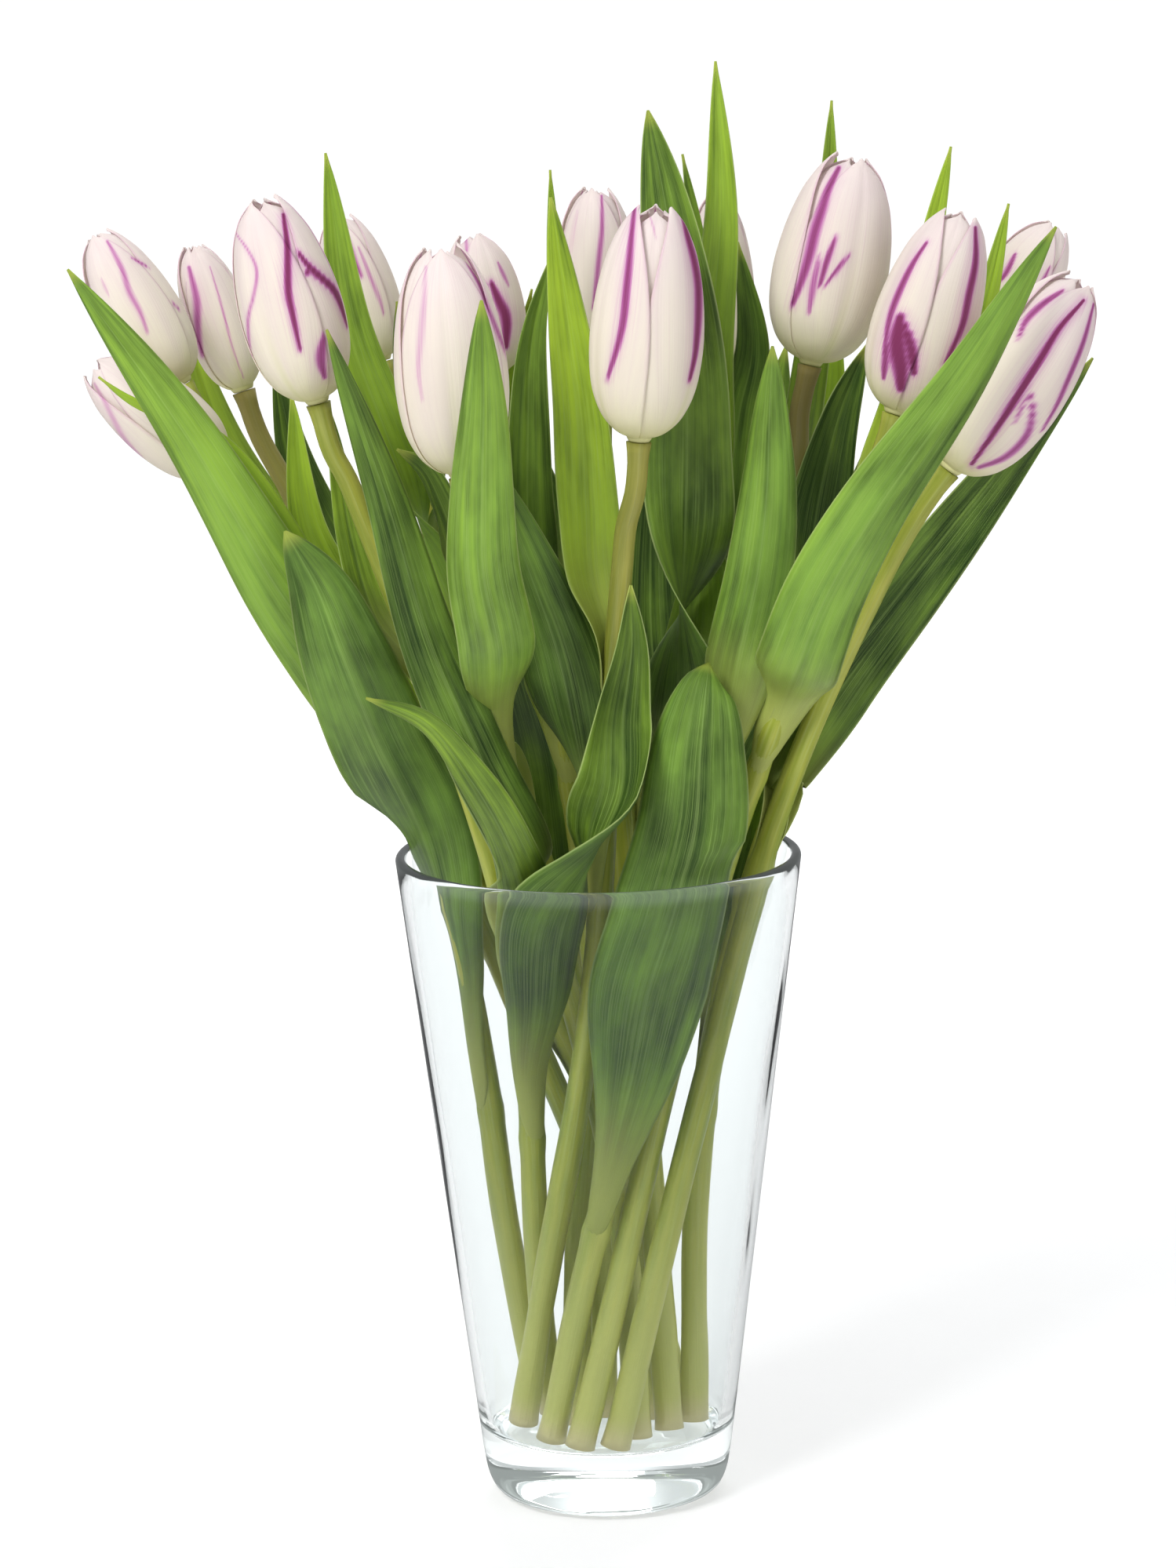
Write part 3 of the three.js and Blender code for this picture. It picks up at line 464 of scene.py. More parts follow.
class Shade:
    """A short way to write the nodes of a material or of the world. Where a value is fed to a
    node, it is another node's socket, a number or a screen colour such as 7a9b52."""

    def __init__(self, owner, output="ShaderNodeOutputMaterial"):
        self.owner = owner
        owner.use_nodes = True
        self.tree = owner.node_tree
        self.tree.nodes.clear()
        self.output = self.node(output)

    def node(self, kind, inputs=None, **settings):
        """A new node with its settings, and with its inputs fed by name or by place."""
        made = self.tree.nodes.new(kind)
        for key, value in settings.items():
            setattr(made, key, value)
        for key, value in (inputs or {}).items():
            self.feed(made.inputs[key], value)
        return made

    def feed(self, socket, value):
        if isinstance(value, bpy.types.NodeSocket):
            self.tree.links.new(value, socket)
        else:
            socket.default_value = colour(value) if isinstance(value, str) else value

    def math(self, operation, a, b=0.0, clamp=False):
        made = self.node("ShaderNodeMath", {0: a, 1: b}, operation=operation, use_clamp=clamp)
        return made.outputs[0]

    def times(self, a, b):
        return self.math("MULTIPLY", a, b)

    def plus(self, a, b, clamp=False):
        return self.math("ADD", a, b, clamp)

    def size(self, a):
        return self.math("ABSOLUTE", a)

    def sway(self, noise, amount):
        """A noise from 0 to 1 as an amount that is taken off and added in turn."""
        return self.times(self.math("SUBTRACT", noise, 0.5), amount)

    def span(self, value, low, high, to_low=0.0, to_high=1.0):
        """Maps low..high smoothly to to_low..to_high."""
        ends = {"Value": value, "From Min": low, "From Max": high, "To Min": to_low, "To Max": to_high}
        return self.node("ShaderNodeMapRange", ends, interpolation_type="SMOOTHSTEP").outputs["Result"]

    def blend(self, share, a, b):
        return self.node("ShaderNodeMix", {0: share, 6: a, 7: b}, data_type="RGBA").outputs[2]

    def layers(self, base, *shares):
        """Colours laid over a base, each given as its share and itself."""
        for share, tint in shares:
            base = self.blend(share, base, tint)
        return base

    def pick(self, share, one, other):
        """One shader where share is 0 and the other where it is 1."""
        return self.node("ShaderNodeMixShader", {0: share, 1: one.outputs[0], 2: other.outputs[0]})

    def background(self, tint, strength):
        return self.node("ShaderNodeBackground", {"Color": tint, "Strength": strength})

    def mark(self, name):
        return self.node("ShaderNodeAttribute", attribute_name=name).outputs["Fac"]

    def split(self, vector):
        return self.node("ShaderNodeSeparateXYZ", {0: vector}).outputs

    def along(self):
        """The two coordinates of the piece: across and along."""
        return self.split(self.node("ShaderNodeUVMap", uv_map="Along").outputs[0])[:2]

    def vector(self, x, y, z=0.0):
        return self.node("ShaderNodeCombineXYZ", {0: x, 1: y, 2: z}).outputs[0]

    def noise(self, vector, scale, detail=3.0):
        inputs = {"Vector": vector, "Scale": scale, "Detail": detail, "Roughness": 0.55}
        return self.node("ShaderNodeTexNoise", inputs).outputs["Fac"]

    def streaks(self, across, along, seed, detail=3.0):
        """Noise drawn out along the piece. across and along each have a value and its scale."""
        return self.noise(self.vector(self.times(*across), self.times(*along), seed), 1.0, detail)

    def bump(self, height, distance, strength):
        inputs = {"Strength": strength, "Distance": distance, "Height": height}
        return self.node("ShaderNodeBump", inputs).outputs[0]

    def surface(self, base, roughness, glow=None, glow_share=0.0, **more):
        """A Principled surface, with a share of light let through as glow's colour."""
        inputs = {key.replace("_", " "): value for key, value in more.items()}
        inputs.update({"Base Color": base, "Roughness": roughness})
        result = self.node("ShaderNodeBsdfPrincipled", inputs)
        if glow is not None:
            through = self.node("ShaderNodeBsdfTranslucent", {"Color": glow})
            result = self.pick(glow_share, result, through)
        self.feed(self.output.inputs["Surface"], result.outputs[0])
        return self.owner


def leaf_material():
    s = Shade(bpy.data.materials.new("tulip_leaf"))
    across, along = s.along()
    tone_and_painted_shade, warmth_and_backlight, inner = s.mark("tone_and_painted_shade"), s.mark("warmth_and_backlight"), s.mark("inner")
    seed, length = s.mark("seed"), s.mark("length")
    edge = s.size(s.math("SUBTRACT", s.times(across, 2.0), 1.0))
    far = s.times(along, length)
    shifted = s.plus(across, s.times(seed, 7.3))
    fine = s.streaks((shifted, 150.0), (far, 0.02), seed, 2.0)
    broad = s.streaks((shifted, 9.0), (far, 0.012), seed, 2.0)
    patch = s.streaks((shifted, 2.2), (far, 0.03), seed, 4.0)
    # Painted shade and backlight: the tone darkens or lightens a whole leaf, partly for its own colour
    # and partly as painted shade; the warmth, more on the inner face, turns it towards a yellow-green
    # that is partly its own and partly painted backlight.
    level = s.plus(s.plus(tone_and_painted_shade, s.sway(patch, 1.05)), s.sway(broad, 0.65))
    light = s.span(level, -0.02, 0.9)
    waxy = s.blend(light, "0c280c", "7ca844")
    yellow_green_and_backlight = s.blend(light, "24460a", "a8c632")
    warm_and_backlit = s.plus(s.plus(warmth_and_backlight, s.times(inner, 0.3)), s.sway(broad, 0.5), clamp=True)
    rib = s.span(edge, 0.0, 0.05, 0.2, 0.0)
    root = s.span(far, 6.0, 62.0, 0.95, 0.0)
    margin = s.span(edge, 0.95, 0.995, 0.0, 0.5)
    point = s.span(s.math("SUBTRACT", length, far), 0.5, 7.0, 0.6, 0.0)
    green = s.layers(
        s.blend(warm_and_backlit, waxy, yellow_green_and_backlight), (s.span(fine, 0.42, 0.75, 0.0, 0.38), "a3c066"),
        (rib, "a3bf6c"), (root, "b7be64"), (margin, "bccb84"), (point, "b9c056"))
    rough = s.span(patch, 0.3, 0.7, 0.36, 0.55)
    normal = s.bump(s.plus(fine, s.times(broad, 1.5)), 0.0002, 0.6)
    return s.surface(green, rough, s.blend(0.45, green, "b5d22e"), 0.24, Normal=normal)


def stem_material():
    s = Shade(bpy.data.materials.new("tulip_stem"))
    across, along = s.along()
    seed, blush, length = s.mark("seed"), s.mark("blush"), s.mark("length")
    far = s.times(along, length)
    streak = s.streaks((across, 14.0), (far, 0.03), seed)
    cloud = s.streaks((across, 2.0), (far, 0.02), seed)
    low = s.span(far, 2.0, 110.0, 0.85, 0.0)
    cut = s.span(far, 0.0, 12.0, 0.8, 0.0)
    neck = s.times(s.times(s.span(along, 0.62, 1.0), blush), 0.85)
    green = s.layers(
        s.blend(s.span(cloud, 0.3, 0.7), "83952a", "b3b648"),
        (s.span(streak, 0.4, 0.75, 0.0, 0.4), "b3bf72"),
        (low, "d2d47c"), (cut, "dccfa2"), (neck, "7a5846"))
    normal = s.bump(streak, 0.0003, 0.6)
    return s.surface(green, 0.38, s.blend(0.5, green, "b8c24a"), 0.12, Normal=normal)


def petal_material():
    s = Shade(bpy.data.materials.new("tulip_petal"))
    across, along = s.along()
    seed, flame = s.mark("seed"), s.mark("streak")
    side = s.math("SUBTRACT", s.times(across, 2.0), 1.0)
    edge = s.size(side)
    fan = s.math("DIVIDE", side, s.plus(along, 0.35))
    shifted = s.plus(fan, s.times(seed, 5.1))
    vein = s.streaks((shifted, 24.0), (along, 1.4), seed)
    cloud = s.streaks((shifted, 1.6), (along, 2.0), seed, 2.0)
    fray = s.streaks((shifted, 75.0), (along, 2.0), seed, 2.0)
    flush = s.times(s.span(vein, 0.5, 0.8, 0.0, 0.4), s.span(along, 0.15, 0.7, 0.1, 1.0))
    margin = s.times(s.span(edge, 0.9, 1.0, 0.0, 0.4), s.span(along, 0.2, 0.6))
    base = s.span(along, 0.03, 0.36, 0.85, 0.0)
    spine = s.times(s.span(edge, 0.0, 0.14, 0.35, 0.0), s.span(along, 0.2, 0.5, 1.0, 0.0))
    pale = s.layers(
        s.blend(s.span(along, 0.2, 0.75), "e6e0cb", "e6dcd8"),
        (s.span(cloud, 0.35, 0.75, 0.0, 0.5), "d9caca"), (flush, "d6b6c6"),
        (margin, "cb9abb"), (base, "d9d598"), (spine, "cfd093"))
    ragged = s.plus(flame, s.sway(fray, 0.6))
    burn = s.times(s.span(ragged, 0.08, 0.68), s.span(flame, 0.03, 0.16))
    deep = s.blend(s.span(ragged, 0.35, 1.05), "c469b4", "7d0556")
    petal = s.blend(s.times(burn, 0.95), pale, deep)
    # The emission is painted light in the petal's own colour: it lightens the shaded crevices and edges,
    # standing in for the light that goes round and round between the petals.
    return s.surface(petal, 0.5, s.blend(0.1, petal, "fbecd4"), 0.32, Normal=s.bump(vein, 0.0002, 0.6),
                     Specular_IOR_Level=0.3, Emission_Color=petal, Emission_Strength=PETAL_PAINTED_LIGHT)


def glass_material():
    s = Shade(bpy.data.materials.new("vase_glass"))
    x, y, z = s.split(s.node("ShaderNodeTexCoord").outputs["Object"])
    wave = s.noise(s.vector(x, y, s.times(z, 0.25)), 45.0, 1.0)
    # The emission is painted light: a glow in the thick foot and in the lip, standing in for the light
    # that goes round and round in them.
    glow = s.plus(s.span(z, 0.012, 0.024, FOOT_PAINTED_LIGHT, 0.0), s.span(z, 0.194, 0.198, 0.0, LIP_PAINTED_LIGHT))
    return s.surface(GLASS_TINT, 0.0, Normal=s.bump(wave, 0.0012, 0.7), Transmission_Weight=1.0,
                     IOR=GLASS_INDEX, Emission_Color=(0.88, 0.97, 0.94, 1.0), Emission_Strength=glow)


# ---- vase ----
def wall_heights(low, high):
    return [mix(low, high, k / WALL_STEPS) for k in range(WALL_STEPS + 1)]


def vase_profile():
    """Radius and height along the glass, from the middle of the foot round the lip to the
    middle of the floor."""
    lip = VASE_HEIGHT - LIP_RISE
    rounding = FLOOR_HEIGHT + 5
    inner_foot = outer_radius(FLOOR_HEIGHT) - WALL
    heel = Curve([(FOOT_RADIUS, 0.15, 0), (FOOT_RADIUS + 3.6, 1.7, 0), (HEEL_RADIUS - 1.5, 6, 0),
                  (HEEL_RADIUS, HEEL_HEIGHT, 0)])
    floor = Curve([(outer_radius(rounding) - WALL, rounding, 0),
                   (inner_foot - 0.6, FLOOR_HEIGHT + 1.5, 0), (inner_foot - 3.4, FLOOR_HEIGHT, 0)])
    lip_middle = outer_radius(lip) - WALL / 2
    profile = [(0, 0), (FOOT_RADIUS - 3, 0), (FOOT_RADIUS, 0.15)]
    profile += [tuple(heel.at(k / 10)[:2]) for k in range(1, 11)]
    profile += [(outer_radius(height), height) for height in wall_heights(HEEL_HEIGHT, lip)[1:]]
    for k in range(1, LIP_STEPS):
        angle = math.pi * k / LIP_STEPS
        profile.append((lip_middle + WALL / 2 * math.cos(angle), lip + LIP_RISE * math.sin(angle)))
    profile += [(outer_radius(height) - WALL, height) for height in wall_heights(lip, rounding)]
    profile += [tuple(floor.at(k / 8)[:2]) for k in range(1, 9)]
    return profile + [(inner_foot - 12, FLOOR_HEIGHT), (0, FLOOR_HEIGHT)]


def build_vase(material):
    points, faces = turned(vase_profile(), VASE_SIDES)
    dress(make_object("glass_vase", points, faces, material), "vase")


# ---- stems ----
def point_at(course, height):
    for low, high in zip(course, course[1:]):
        if high[2] >= height:
            return mix(low, high, max((height - low[2]) / (high[2] - low[2]), 0.0))
    return course[-1].copy()


def lean_apart(here):
    """Moves stems' centres at one level, until none is closer to another than it may be."""
    for i, one in enumerate(here):
        for other in here[i + 1:]:
            gap = other[0] - one[0], other[1] - one[1]
            distance = math.hypot(*gap)
            if distance >= STEM_SPACING:
                continue
            push = (STEM_SPACING - distance) / 2 / distance
            for k in (0, 1):
                one[k] -= gap[k] * push
                other[k] += gap[k] * push


def lean_off_glass(here):
    for point in here:
        if point[2] > VASE_HEIGHT + 10:
            continue
        reach = outer_radius(point[2]) - WALL - STEM_RADIUS_LOW - 1
        radius = math.hypot(point[0], point[1])
        if radius > reach:
            point[0] *= reach / radius
            point[1] *= reach / radius


def straighten(stem):
    for level in range(1, len(stem) - 1):
        for k in (0, 1):
            middle = (stem[level - 1][k] + stem[level + 1][k]) / 2
            stem[level][k] = mix(stem[level][k], middle, STRAIGHTENING)


def settle(stems):
    """Stems that come too close at a level lean off each other, and off the glass."""
    for _ in range(SETTLING_ROUNDS):
        for level in range(max(len(stem) for stem in stems)):
            here = [stem[level] for stem in stems if level < len(stem)]
            lean_apart(here)
            lean_off_glass(here)
        for stem in stems:
            straighten(stem)


def stem_curves():
    courses, levels = [], []
    for row in TULIPS.values():
        foot = np.array([*row["foot"], FLOOR_HEIGHT], float)
        course = [foot, *map(place, row["stem"])]
        top = course[-1][2] - NECK - 4
        heights = np.arange(FLOOR_HEIGHT, top, STEM_STEP)
        levels.append([point_at(course, height).tolist() for height in heights])
        courses.append(course)
    settle(levels)
    curves = {}
    for (name, row), course, points in zip(TULIPS.items(), courses, levels):
        base = course[-1]
        axis = unit(place(row["tip"]) - base)
        first = unit(np.subtract(points[1], points[0]))
        lean = math.acos(first[2])
        points[0][2] = FLOOR_HEIGHT + GAP + STEM_RADIUS_LOW * math.sin(lean)
        curves[name] = Curve([*points, base - axis * NECK, base])
    return curves


def build_stem(name, curve, material, seed):
    rings = int(curve.length / STEM_RING)
    shares = np.linspace(0.0, 1.0, rings + 1)
    far = shares * curve.length
    radii = mix(STEM_RADIUS_LOW, STEM_RADIUS_HIGH, shares)
    for leaf in TULIPS[name]["leaves"].values():
        height = curve.at_height(leaf["root"])
        node = curve.reach[np.argmin(np.linalg.norm(curve.samples - height, axis=1))]
        radii = radii + NODE_SWELL[0] * np.exp(-((far - node) / NODE_SWELL[1]) ** 2)
    radii = radii + FOOT_SWELL[0] * np.exp(-(far / FOOT_SWELL[1]) ** 2)
    radii = radii + NECK_SWELL[0] * smooth(curve.length - NECK_SWELL[1], curve.length, far)
    points, faces = tube(curve.at(shares), curve.along(shares), radii, STEM_SIDES)
    around = np.tile(np.abs(np.arange(STEM_SIDES) / STEM_SIDES * 2 - 1), rings + 1)
    uvs = np.stack([around, np.repeat(shares, STEM_SIDES)], -1)
    marks = {"seed": seed, "length": curve.length, "blush": BLUSH.get(name, 0.25)}
    stem = make_object(f"stalk_{name}", points, faces, material, uvs, marks)
    dress(stem, f"stem_{name}")


# ---- leaves ----
def leaf_course(leaf, stem):
    """A leaf's midrib, the direction that it leaves the stem in, and the stem's radius there."""
    course = [place(point) for point in leaf["course"]]
    root = stem.at_height(leaf["root"])
    clasp = stem.at_height(leaf["root"] + SHEATH_LENGTH)
    away = course[0] - stem.at_height(course[0][2])
    side = math.atan2(away[1], away[0])
    outward = np.array([math.cos(side), math.sin(side), 0.0])
    stem_share = (leaf["root"] - FLOOR_HEIGHT) / (stem.samples[-1][2] - FLOOR_HEIGHT)
    radius = mix(STEM_RADIUS_LOW, STEM_RADIUS_HIGH, stem_share)
    midrib = Curve([root + outward * radius, clasp + outward * (radius + 1), *course])
    return midrib, side, radius


def leaf_section(leaf, share, stem_radius, t):
    """Half width and half angle of the leaf's arc at each step, and how far it has opened.
    share is the part of its length that clasps the stem."""
    opening = smooth(0.0, share * leaf.get("unfurl", 2), t)
    taper = np.maximum(1 - t ** leaf.get("point", 2.6), 0.0) ** 0.8
    taper = taper * mix(0.3, 1.0, smooth(-share * 0.2, share * 0.5, t))
    half = np.maximum(mix(SHEATH_WRAP * stem_radius, leaf["width"] / 2, opening) * taper, 0.35)
    clasping = np.minimum(SHEATH_WRAP, half / stem_radius)
    return half, mix(clasping, CHANNEL * leaf.get("hollow", 1), opening), opening


def leaf_grid(leaf, stem, look):
    """Middle points of a leaf, a row for each step along it, and its length."""
    midrib, side, stem_radius = leaf_course(leaf, stem)
    swing = (math.radians(leaf["face"]) - side) % (2 * math.pi) - math.pi
    t = np.linspace(0.0, 1.0, LEAF_ROWS + 1)
    facing = side + math.pi + swing * smooth(*leaf.get("turning", (0.15, 0.6)), t)
    tangent = midrib.along(t)
    inner = np.stack([np.cos(facing), np.sin(facing), np.zeros_like(t)], -1)
    inner = unit(inner - tangent * np.sum(inner * tangent, -1, keepdims=True))
    across = np.cross(tangent, inner)
    half, bend, opening = leaf_section(leaf, SHEATH_LENGTH / midrib.length, stem_radius, t)
    radius = half / bend
    s = np.linspace(-1.0, 1.0, LEAF_COLUMNS + 1)[None, :]
    angle = bend[:, None] * s
    grid = midrib.at(t)[:, None, :]
    grid = grid + across[:, None, :] * (radius[:, None] * np.sin(angle))[..., None]
    lift = radius[:, None] * (1 - np.cos(angle))
    phase = look["waves"] * t[:, None] + look["seed"] + 0.3 * s
    ripple = look["wave"] * np.sin(2 * math.pi * phase)
    ripple = ripple * np.abs(s) ** 2 * (opening * smooth(1.0, 0.8, t))[:, None]
    keel = KEEL * np.exp(-(s / 0.1) ** 2) * (opening * smooth(1.0, 0.85, t))[:, None]
    grid = grid + inner[:, None, :] * (lift + ripple - keel)[..., None]
    return keep_inside(grid), midrib.length


def keep_inside(points):
    """Points of a leaf that would meet the glass lie against it instead."""
    lip = np.minimum(points[..., 2], VASE_HEIGHT)
    reach = outer_radius(lip) - WALL - GLASS_CLEARANCE + LIP_SPREAD * (points[..., 2] - lip) ** 2
    radius = np.hypot(points[..., 0], points[..., 1])
    pull = np.minimum(reach / radius, 1.0)
    kept = points.copy()
    kept[..., 0] *= pull
    kept[..., 1] *= pull
    return kept


def build_leaf(tulip, name, leaf, stem, material, draw):
    look = {"wave": draw.uniform(0.4, 1.1), "waves": draw.uniform(1.5, 2.8), "seed": draw.random()}
    # The tone is partly painted shade and the warmth partly painted backlight.
    tone_and_painted_shade, warmth_and_backlight = leaf["looks"]
    grid, length = leaf_grid(leaf, stem, look)
    points, faces, uvs = blade(grid, LEAF_THICKNESS, 0.55)
    inner = np.repeat([1.0, 0.0], len(points) // 2)
    marks = {"seed": look["seed"], "tone_and_painted_shade": tone_and_painted_shade, "warmth_and_backlight": warmth_and_backlight, "inner": inner, "length": length}
    piece = make_object(f"leaf_{tulip}_{name}", points, faces, material, uvs, marks)
    dress(piece, f"stem_{tulip}")


# ---- blooms ----
# Height, radius and half angle of a petal from root to tip, as shares of the bloom's own.
OUTER_PETAL = [(0.015, 0.13, 1.0), (0.05, 0.46, 1.06), (0.13, 0.75, 1.08), (0.25, 0.93, 1.1),
               (0.42, 1.0, 1.12), (0.6, 0.95, 1.08), (0.78, 0.8, 0.95), (0.9, 0.6, 0.74),
               (0.97, 0.42, 0.45), (1.0, 0.32, 0.1)]
INNER_PETAL = [(0.03, 0.1, 0.8), (0.08, 0.42, 0.95), (0.17, 0.68, 1.0), (0.3, 0.85, 1.0),
               (0.45, 0.92, 1.0), (0.62, 0.875, 0.97), (0.8, 0.71, 0.92), (0.91, 0.48, 0.84),
               (0.96, 0.29, 0.6), (0.985, 0.16, 0.15)]
PETALS_IN_WHORL = 3
OVERLAP = 0.3                 # how far a petal's margins lie outside and inside its middle, in mm


def petal_grid(rows, middle, length, radius, draw, outer):
    """Middle points of a petal, upright round the axis of its bloom."""
    t = np.linspace(0.0, 1.0, PETAL_ROWS + 1)
    height, reach, share = Curve(rows).at(t).T
    half = math.radians(PETAL_HALF_ANGLE) * np.maximum(share, 0.02)
    s = np.linspace(-1.0, 1.0, PETAL_COLUMNS + 1)[None, :]
    tall = draw.uniform(0.975, 1.0)
    lean = draw.uniform(-0.03, 0.03)
    skew = draw.uniform(-0.1, 0.1)
    angle = middle + half[:, None] * s + skew * (t ** 2)[:, None]
    crest = 0.02 * np.exp(-(s / 0.12) ** 2) * (smooth(0.1, 0.35, t) * smooth(1.0, 0.7, t))[:, None]
    over = OVERLAP * s * smooth(0.0, 0.1, t)[:, None]
    curl = (0.006 if outer else 0.0) * np.abs(s) ** 5
    curl = curl * (smooth(0.3, 0.6, t) * smooth(1.0, 0.85, t))[:, None]
    flutter = np.sin(9 * t[:, None] + 5 * draw.random()) * smooth(0.3, 0.7, t)[:, None]
    flutter = 0.012 * flutter * np.abs(s) ** 3
    out = reach[:, None] * (1 + curl + flutter - crest) + lean * smooth(0.45, 1.0, t)[:, None]
    out = out * radius + over
    dip = 0.015 * np.abs(s) ** 2 * smooth(0.7, 1.0, t)[:, None]
    up = (height[:, None] * tall - dip) * length
    return np.stack([out * np.cos(angle), out * np.sin(angle), up], -1)


def receptacle_profile(radius):
    """The green knob between the stem and the petals."""
    shape = [(0.0, 1.0), (0.5, 1.12), (1.4, 1.25), (3.0, 1.2), (RECEPTACLE_HEIGHT, 0.8)]
    return [(0.0, 0.0), *((radius * share, height) for height, share in shape), (0.0, RECEPTACLE_HEIGHT)]


def stroke_marks(strokes, spots):
    """How strongly each spot is coloured. A stroke is a course of points [across, up], a half
    width in millimetres and a strength; it thins out towards its ends."""
    total = np.zeros(spots.shape[:-1])
    for course, width, strength in strokes:
        line = Curve(course, 4).samples
        reach = np.concatenate([[0.0], np.cumsum(np.linalg.norm(np.diff(line, axis=0), axis=1))])
        for k in range(len(line) - 1):
            step = line[k + 1] - line[k]
            share = np.clip(((spots - line[k]) @ step) / (step @ step), 0.0, 1.0)
            gap = np.linalg.norm(spots - line[k] - share[..., None] * step, axis=-1)
            far = (reach[k] + share * (reach[k + 1] - reach[k])) / reach[-1]
            body = 0.45 + 0.55 * np.sin(math.pi * far)
            core = np.exp(-(gap / (width * body)) ** 2)
            wash = 0.3 * np.exp(-(gap / (2.6 * width * body + 0.8)) ** 2)
            total = np.maximum(total, strength * np.maximum(core, wash))
    return total


def petal_marks(name, grid, origin, axis):
    """Its own strokes on the side towards the viewing point, one stripe a petal on the rest."""
    s = np.linspace(-1.0, 1.0, PETAL_COLUMNS + 1)[None, :]
    t = np.linspace(0.0, 1.0, PETAL_ROWS + 1)[:, None]
    foot = origin + (grid - origin) @ axis[:, None] * axis
    near = smooth(0.5, -1.5, grid[..., 1] - foot[..., 1])
    own = stroke_marks(FLAMES.get(name, []), lay_out(grid)) * near
    stripe = 0.6 * np.exp(-(s / 0.1) ** 2) * smooth(0.3, 0.5, t) * smooth(1.0, 0.85, t)
    return np.maximum(own, stripe * (1 - near)).ravel()


def build_petal(name, grid, origin, axis):
    """Points, faces, coordinates and marks of a petal from its middle points."""
    marks = petal_marks(name, grid, origin, axis)
    return *blade(grid, PETAL_THICKNESS, 0.5), np.tile(marks, 2)


def build_bloom(name, row, curve, material, draw):
    base, tip = curve.at(1.0), place(row["tip"])
    axis = unit(tip - base)
    origin = base + axis * GAP
    length = np.linalg.norm(tip - origin)
    radius = row["width"] * (1 + tip[1] / VIEW_DISTANCE) / 2 - PETAL_THICKNESS / 2
    swing = swing_to(axis)
    parts, seeds = [], []
    for whorl, rows in enumerate((OUTER_PETAL, INNER_PETAL)):
        for k in range(PETALS_IN_WHORL):
            middle = 2 * math.pi * k / PETALS_IN_WHORL + whorl * math.pi / PETALS_IN_WHORL
            middle += math.radians(row["turn"])
            grid = petal_grid(rows, middle, length, radius, draw, whorl == 0) @ swing.T + origin
            parts.append(build_petal(name, grid, origin, axis))
            seeds.append(draw.random())
    knob, quads = turned(receptacle_profile(STEM_RADIUS_HIGH), STEM_SIDES)
    knob = np.array(knob) @ swing.T + origin
    parts.append((knob, quads, np.tile([0.5, 0.0], (len(knob), 1)), np.zeros(len(knob))))
    seeds.append(0.0)
    counts = [len(part[0]) for part in parts]
    starts = np.cumsum([0, *counts]).tolist()
    faces = [tuple(start + v for v in face) for start, part in zip(starts, parts) for face in part[1]]
    points, uvs, streak = (np.concatenate([part[k] for part in parts]) for k in (0, 2, 3))
    marks = {"streak": streak, "seed": np.repeat(seeds, counts)}
    bloom = make_object(f"petals_{name}", points, faces, material, uvs, marks)
    dress(bloom, f"bloom_{name}")


def swing_to(axis):
    """The rotation matrix that takes the upright onto an axis by the shortest way."""
    v = np.cross(UP, axis)
    c = float(np.dot(UP, axis))
    k = np.array([[0, -v[2], v[1]], [v[2], 0, -v[0]], [-v[1], v[0], 0]])
    return np.eye(3) + k + k @ k / (1 + c)


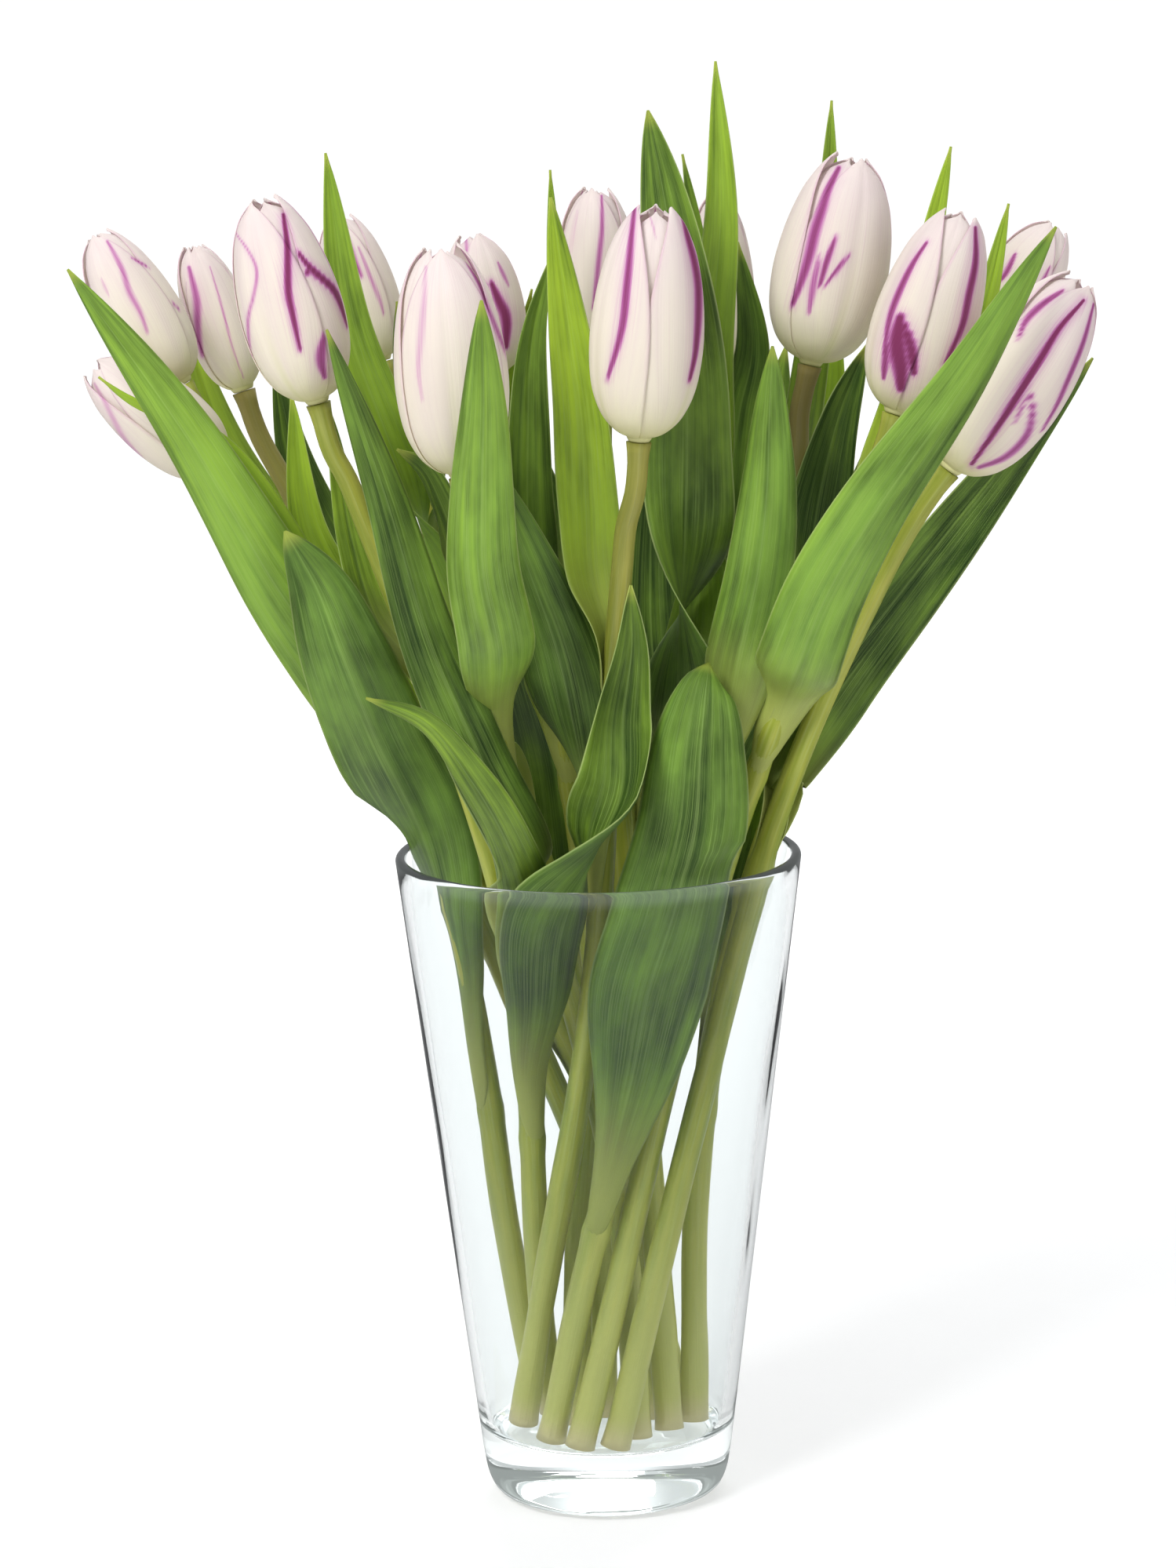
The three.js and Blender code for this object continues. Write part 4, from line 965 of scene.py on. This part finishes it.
# The purple strokes on each bloom's near side, in the layout plane.
FLAMES = {
    "far_left": [
        ([(-142, 386), (-138, 378), (-136, 371), (-133, 365), (-131, 359)], 1.3, 0.55),
        ([(-144, 375), (-142, 370)], 0.8, 0.35), ([(-135, 381), (-130, 378)], 0.5, 0.7),
        ([(-124, 368), (-121, 365)], 0.5, 0.6)],
    "low_left": [([(-147, 344), (-143, 336), (-139, 328), (-133, 321)], 1.2, 0.4)],
    "back_left": [
        ([(-118, 378), (-116, 368), (-116, 360), (-115, 352)], 1.6, 0.65),
        ([(-112, 378), (-109, 367), (-106, 354), (-103, 345)], 0.5, 0.55)],
    "left": [
        ([(-104, 388), (-100, 382), (-98, 377), (-99, 370), (-101, 362), (-100, 348)], 0.8, 0.55),
        ([(-90, 393), (-89, 384), (-89, 370), (-88, 364), (-86, 353)], 1.3, 1.1),
        ([(-86, 382), (-83, 378), (-79, 374), (-76, 371), (-74, 367), (-72, 360)], 1.1, 1.2),
        ([(-84, 376), (-80, 375)], 0.8, 1.0), ([(-79, 357), (-80, 350), (-79, 345)], 2.0, 0.8)],
    "back_mid_left": [
        ([(-71, 386), (-69, 379), (-67, 374)], 1.0, 0.7),
        ([(-68, 383), (-65, 375), (-62, 367), (-61, 363)], 1.0, 0.5)],
    "front_left": [
        ([(-48, 377), (-49, 366), (-50, 356), (-51, 346), (-50, 338)], 1.5, 0.35),
        ([(-37, 379), (-33, 372), (-30, 364), (-27, 356), (-24, 348), (-22, 336)], 0.9, 0.65)],
    "mid_left": [
        ([(-36, 386), (-36, 380)], 0.8, 0.5), ([(-27, 378), (-24, 371)], 0.8, 0.6),
        ([(-29, 372), (-27, 367), (-25, 362), (-25, 353)], 1.8, 1.1),
        ([(-33, 374), (-30, 371)], 0.7, 0.7)],
    "back_mid": [
        ([(4, 397), (4, 388), (3, 379), (2, 371), (1, 364)], 1.1, 0.65),
        ([(-3, 393), (-5, 383), (-7, 373)], 1.2, 0.25)],
    "front_mid": [
        ([(14, 394), (13, 387), (12, 378), (11, 369), (10, 360), (8, 352), (5, 343)], 1.5, 0.85),
        ([(27, 394), (29, 385), (31, 377), (32, 369), (31, 351), (29, 342)], 1.4, 1.0),
        ([(18, 392), (20, 384)], 0.5, 0.4)],
    "right": [
        ([(74, 404), (71, 398), (69, 392), (67, 386), (65, 378), (62, 369), (60, 364)], 2.0, 0.85),
        ([(68, 378), (66, 368), (65, 362)], 1.6, 0.65),
        ([(73, 384), (70, 376), (68, 369)], 1.2, 0.9), ([(77, 379), (73, 374), (70, 370)], 0.8, 0.85)],
    "right_front": [
        ([(100, 382), (96, 376), (92, 368), (89, 360), (87, 349)], 1.2, 0.9),
        ([(114, 386), (114, 376), (112, 366), (110, 357), (105, 346)], 1.3, 1.0),
        ([(92, 360), (91, 352), (92, 345), (92, 339)], 3.2, 1.15),
        ([(93, 358), (95, 351), (96, 343)], 2.0, 1.1), ([(88, 352), (87, 342)], 1.4, 0.9)],
    "far_right": [
        ([(126, 378), (123, 372), (120, 369)], 1.0, 0.85),
        ([(136, 374), (133, 368), (130, 362), (128, 355)], 1.1, 0.7)],
    "low_right": [
        ([(146, 364), (139, 356), (134, 348), (129, 340), (124, 332), (118, 323), (113, 316)], 1.2, 1.3),
        ([(140, 367), (134, 363), (129, 358), (127, 353)], 1.3, 0.8),
        ([(130, 338), (131, 331), (129, 324), (123, 318), (115, 315)], 1.5, 0.75),
        ([(129, 336), (126, 328)], 1.2, 0.6),
        ([(149, 363), (146, 352), (142, 342), (138, 333), (134, 326)], 1.0, 0.8)],
}
BLUSH = {"front_mid": 0.5, "right": 0.8, "back_left": 0.7, "far_left": 0.1}


# ---- camera, light and floor ----
def build_camera():
    data = bpy.data.cameras.new("camera")
    camera = bpy.data.objects.new("camera", data)
    bpy.context.scene.collection.objects.link(camera)
    data.sensor_fit = "AUTO"
    data.sensor_width = SENSOR
    data.lens = FOCAL_PIXELS / FRAME_HEIGHT * SENSOR
    # The offset is level in the picture before the roll, so the shift turns with it.
    data.shift_x = -CENTRE_OFFSET / FRAME_HEIGHT
    stand = Matrix.Translation((0.0, -VIEW_DISTANCE * MM, VIEW_HEIGHT * MM))
    pitch = Matrix.Rotation(math.radians(90 - VIEW_PITCH), 4, "X")
    camera.matrix_world = stand @ pitch @ Matrix.Rotation(-math.radians(VIEW_ROLL), 4, "Z")
    data.clip_start, data.clip_end = 0.05, 50
    bpy.context.scene.camera = camera


def add_lamp(name, location, size, power):
    """A soft lamp. Its shape doesn't show in the glass."""
    data = bpy.data.lights.new(name, "AREA")
    data.shape, data.size, data.size_y = "RECTANGLE", size[0], size[1]
    data.energy = power
    lamp = bpy.data.objects.new(name, data)
    lamp.location = location
    aim = Vector(LAMP_TARGET) - Vector(location)
    lamp.rotation_euler = aim.to_track_quat("-Z", "Y").to_euler()
    lamp.visible_glossy = False
    bpy.context.scene.collection.objects.link(lamp)


def build_world():
    """White where it is seen. As light it is a soft sky, greyer at the sides, and through the
    glass there are grey screens between front, back and sides that draw its edges."""
    s = Shade(bpy.data.worlds.new("studio"), "ShaderNodeOutputWorld")
    x, y, z = s.split(s.node("ShaderNodeTexCoord").outputs["Generated"])
    path = s.node("ShaderNodeLightPath").outputs
    light = s.plus(s.span(s.size(x), 0.35, 0.95, *SKY), s.times(z, SKY_RISE))
    mirrored = s.span(path["Is Glossy Ray"], 0.0, 1.0, 1.0, SKY_MIRRORED)
    below = s.times(s.span(z, -0.85, -0.6, 1.0, 0.0), path["Is Glossy Ray"])
    sky = s.background((0.96, 0.98, 1.0, 1.0), s.plus(s.times(light, mirrored), below))
    level = s.plus(s.times(x, x), s.times(y, y))
    slant = s.math("DIVIDE", s.size(s.times(x, y)), level)
    screened = s.background((0.95, 0.98, 1.0, 1.0), s.span(slant, 0.05, 0.3, *SCREENS))
    lit = s.pick(path["Is Transmission Ray"], sky, screened)
    lit = s.pick(path["Is Camera Ray"], lit, s.background((1.0, 1.0, 1.0, 1.0), BACKDROP))
    s.feed(s.output.inputs["Surface"], lit.outputs[0])
    bpy.context.scene.world = s.owner


def build_floor():
    s = Shade(bpy.data.materials.new("floor_white"))
    spot = s.node("ShaderNodeTexCoord").outputs["Object"]
    tint = s.blend(s.noise(spot, 30.0), (0.49, 0.49, 0.49, 1.0), (0.51, 0.51, 0.51, 1.0))
    reach = s.node("ShaderNodeVectorMath", {0: spot}, operation="LENGTH")
    # The lamps' light falls off across the floor, and the glow makes up for it.
    glow = s.span(reach.outputs["Value"], *FLOOR_GLOW)
    white = s.surface(tint, 0.9, Emission_Color=(1.0, 1.0, 1.0, 1.0), Emission_Strength=glow)
    corners = ((-1, -1), (1, -1), (1, 1), (-1, 1))
    points = [(x * FLOOR_HALF, y * FLOOR_HALF, -GAP) for x, y in corners]
    floor = make_object("floor", points, [(0, 1, 2, 3)], white)
    floor.visible_glossy = False


def build_studio():
    scene = bpy.context.scene
    scene.view_settings.view_transform = "Standard"
    scene.view_settings.look = "None"
    build_world()
    for name, spec in LAMPS.items():
        add_lamp(name, *spec)
    build_floor()


def main():
    build_camera()
    build_studio()
    leaf, stalk, petal = leaf_material(), stem_material(), petal_material()
    build_vase(glass_material())
    draw = random.Random(7)
    curves = stem_curves()
    for name, row in TULIPS.items():
        build_stem(name, curves[name], stalk, draw.random())
        for leaf_name, spec in row["leaves"].items():
            build_leaf(name, leaf_name, spec, curves[name], leaf, draw)
        build_bloom(name, row, curves[name], petal, draw)


main()
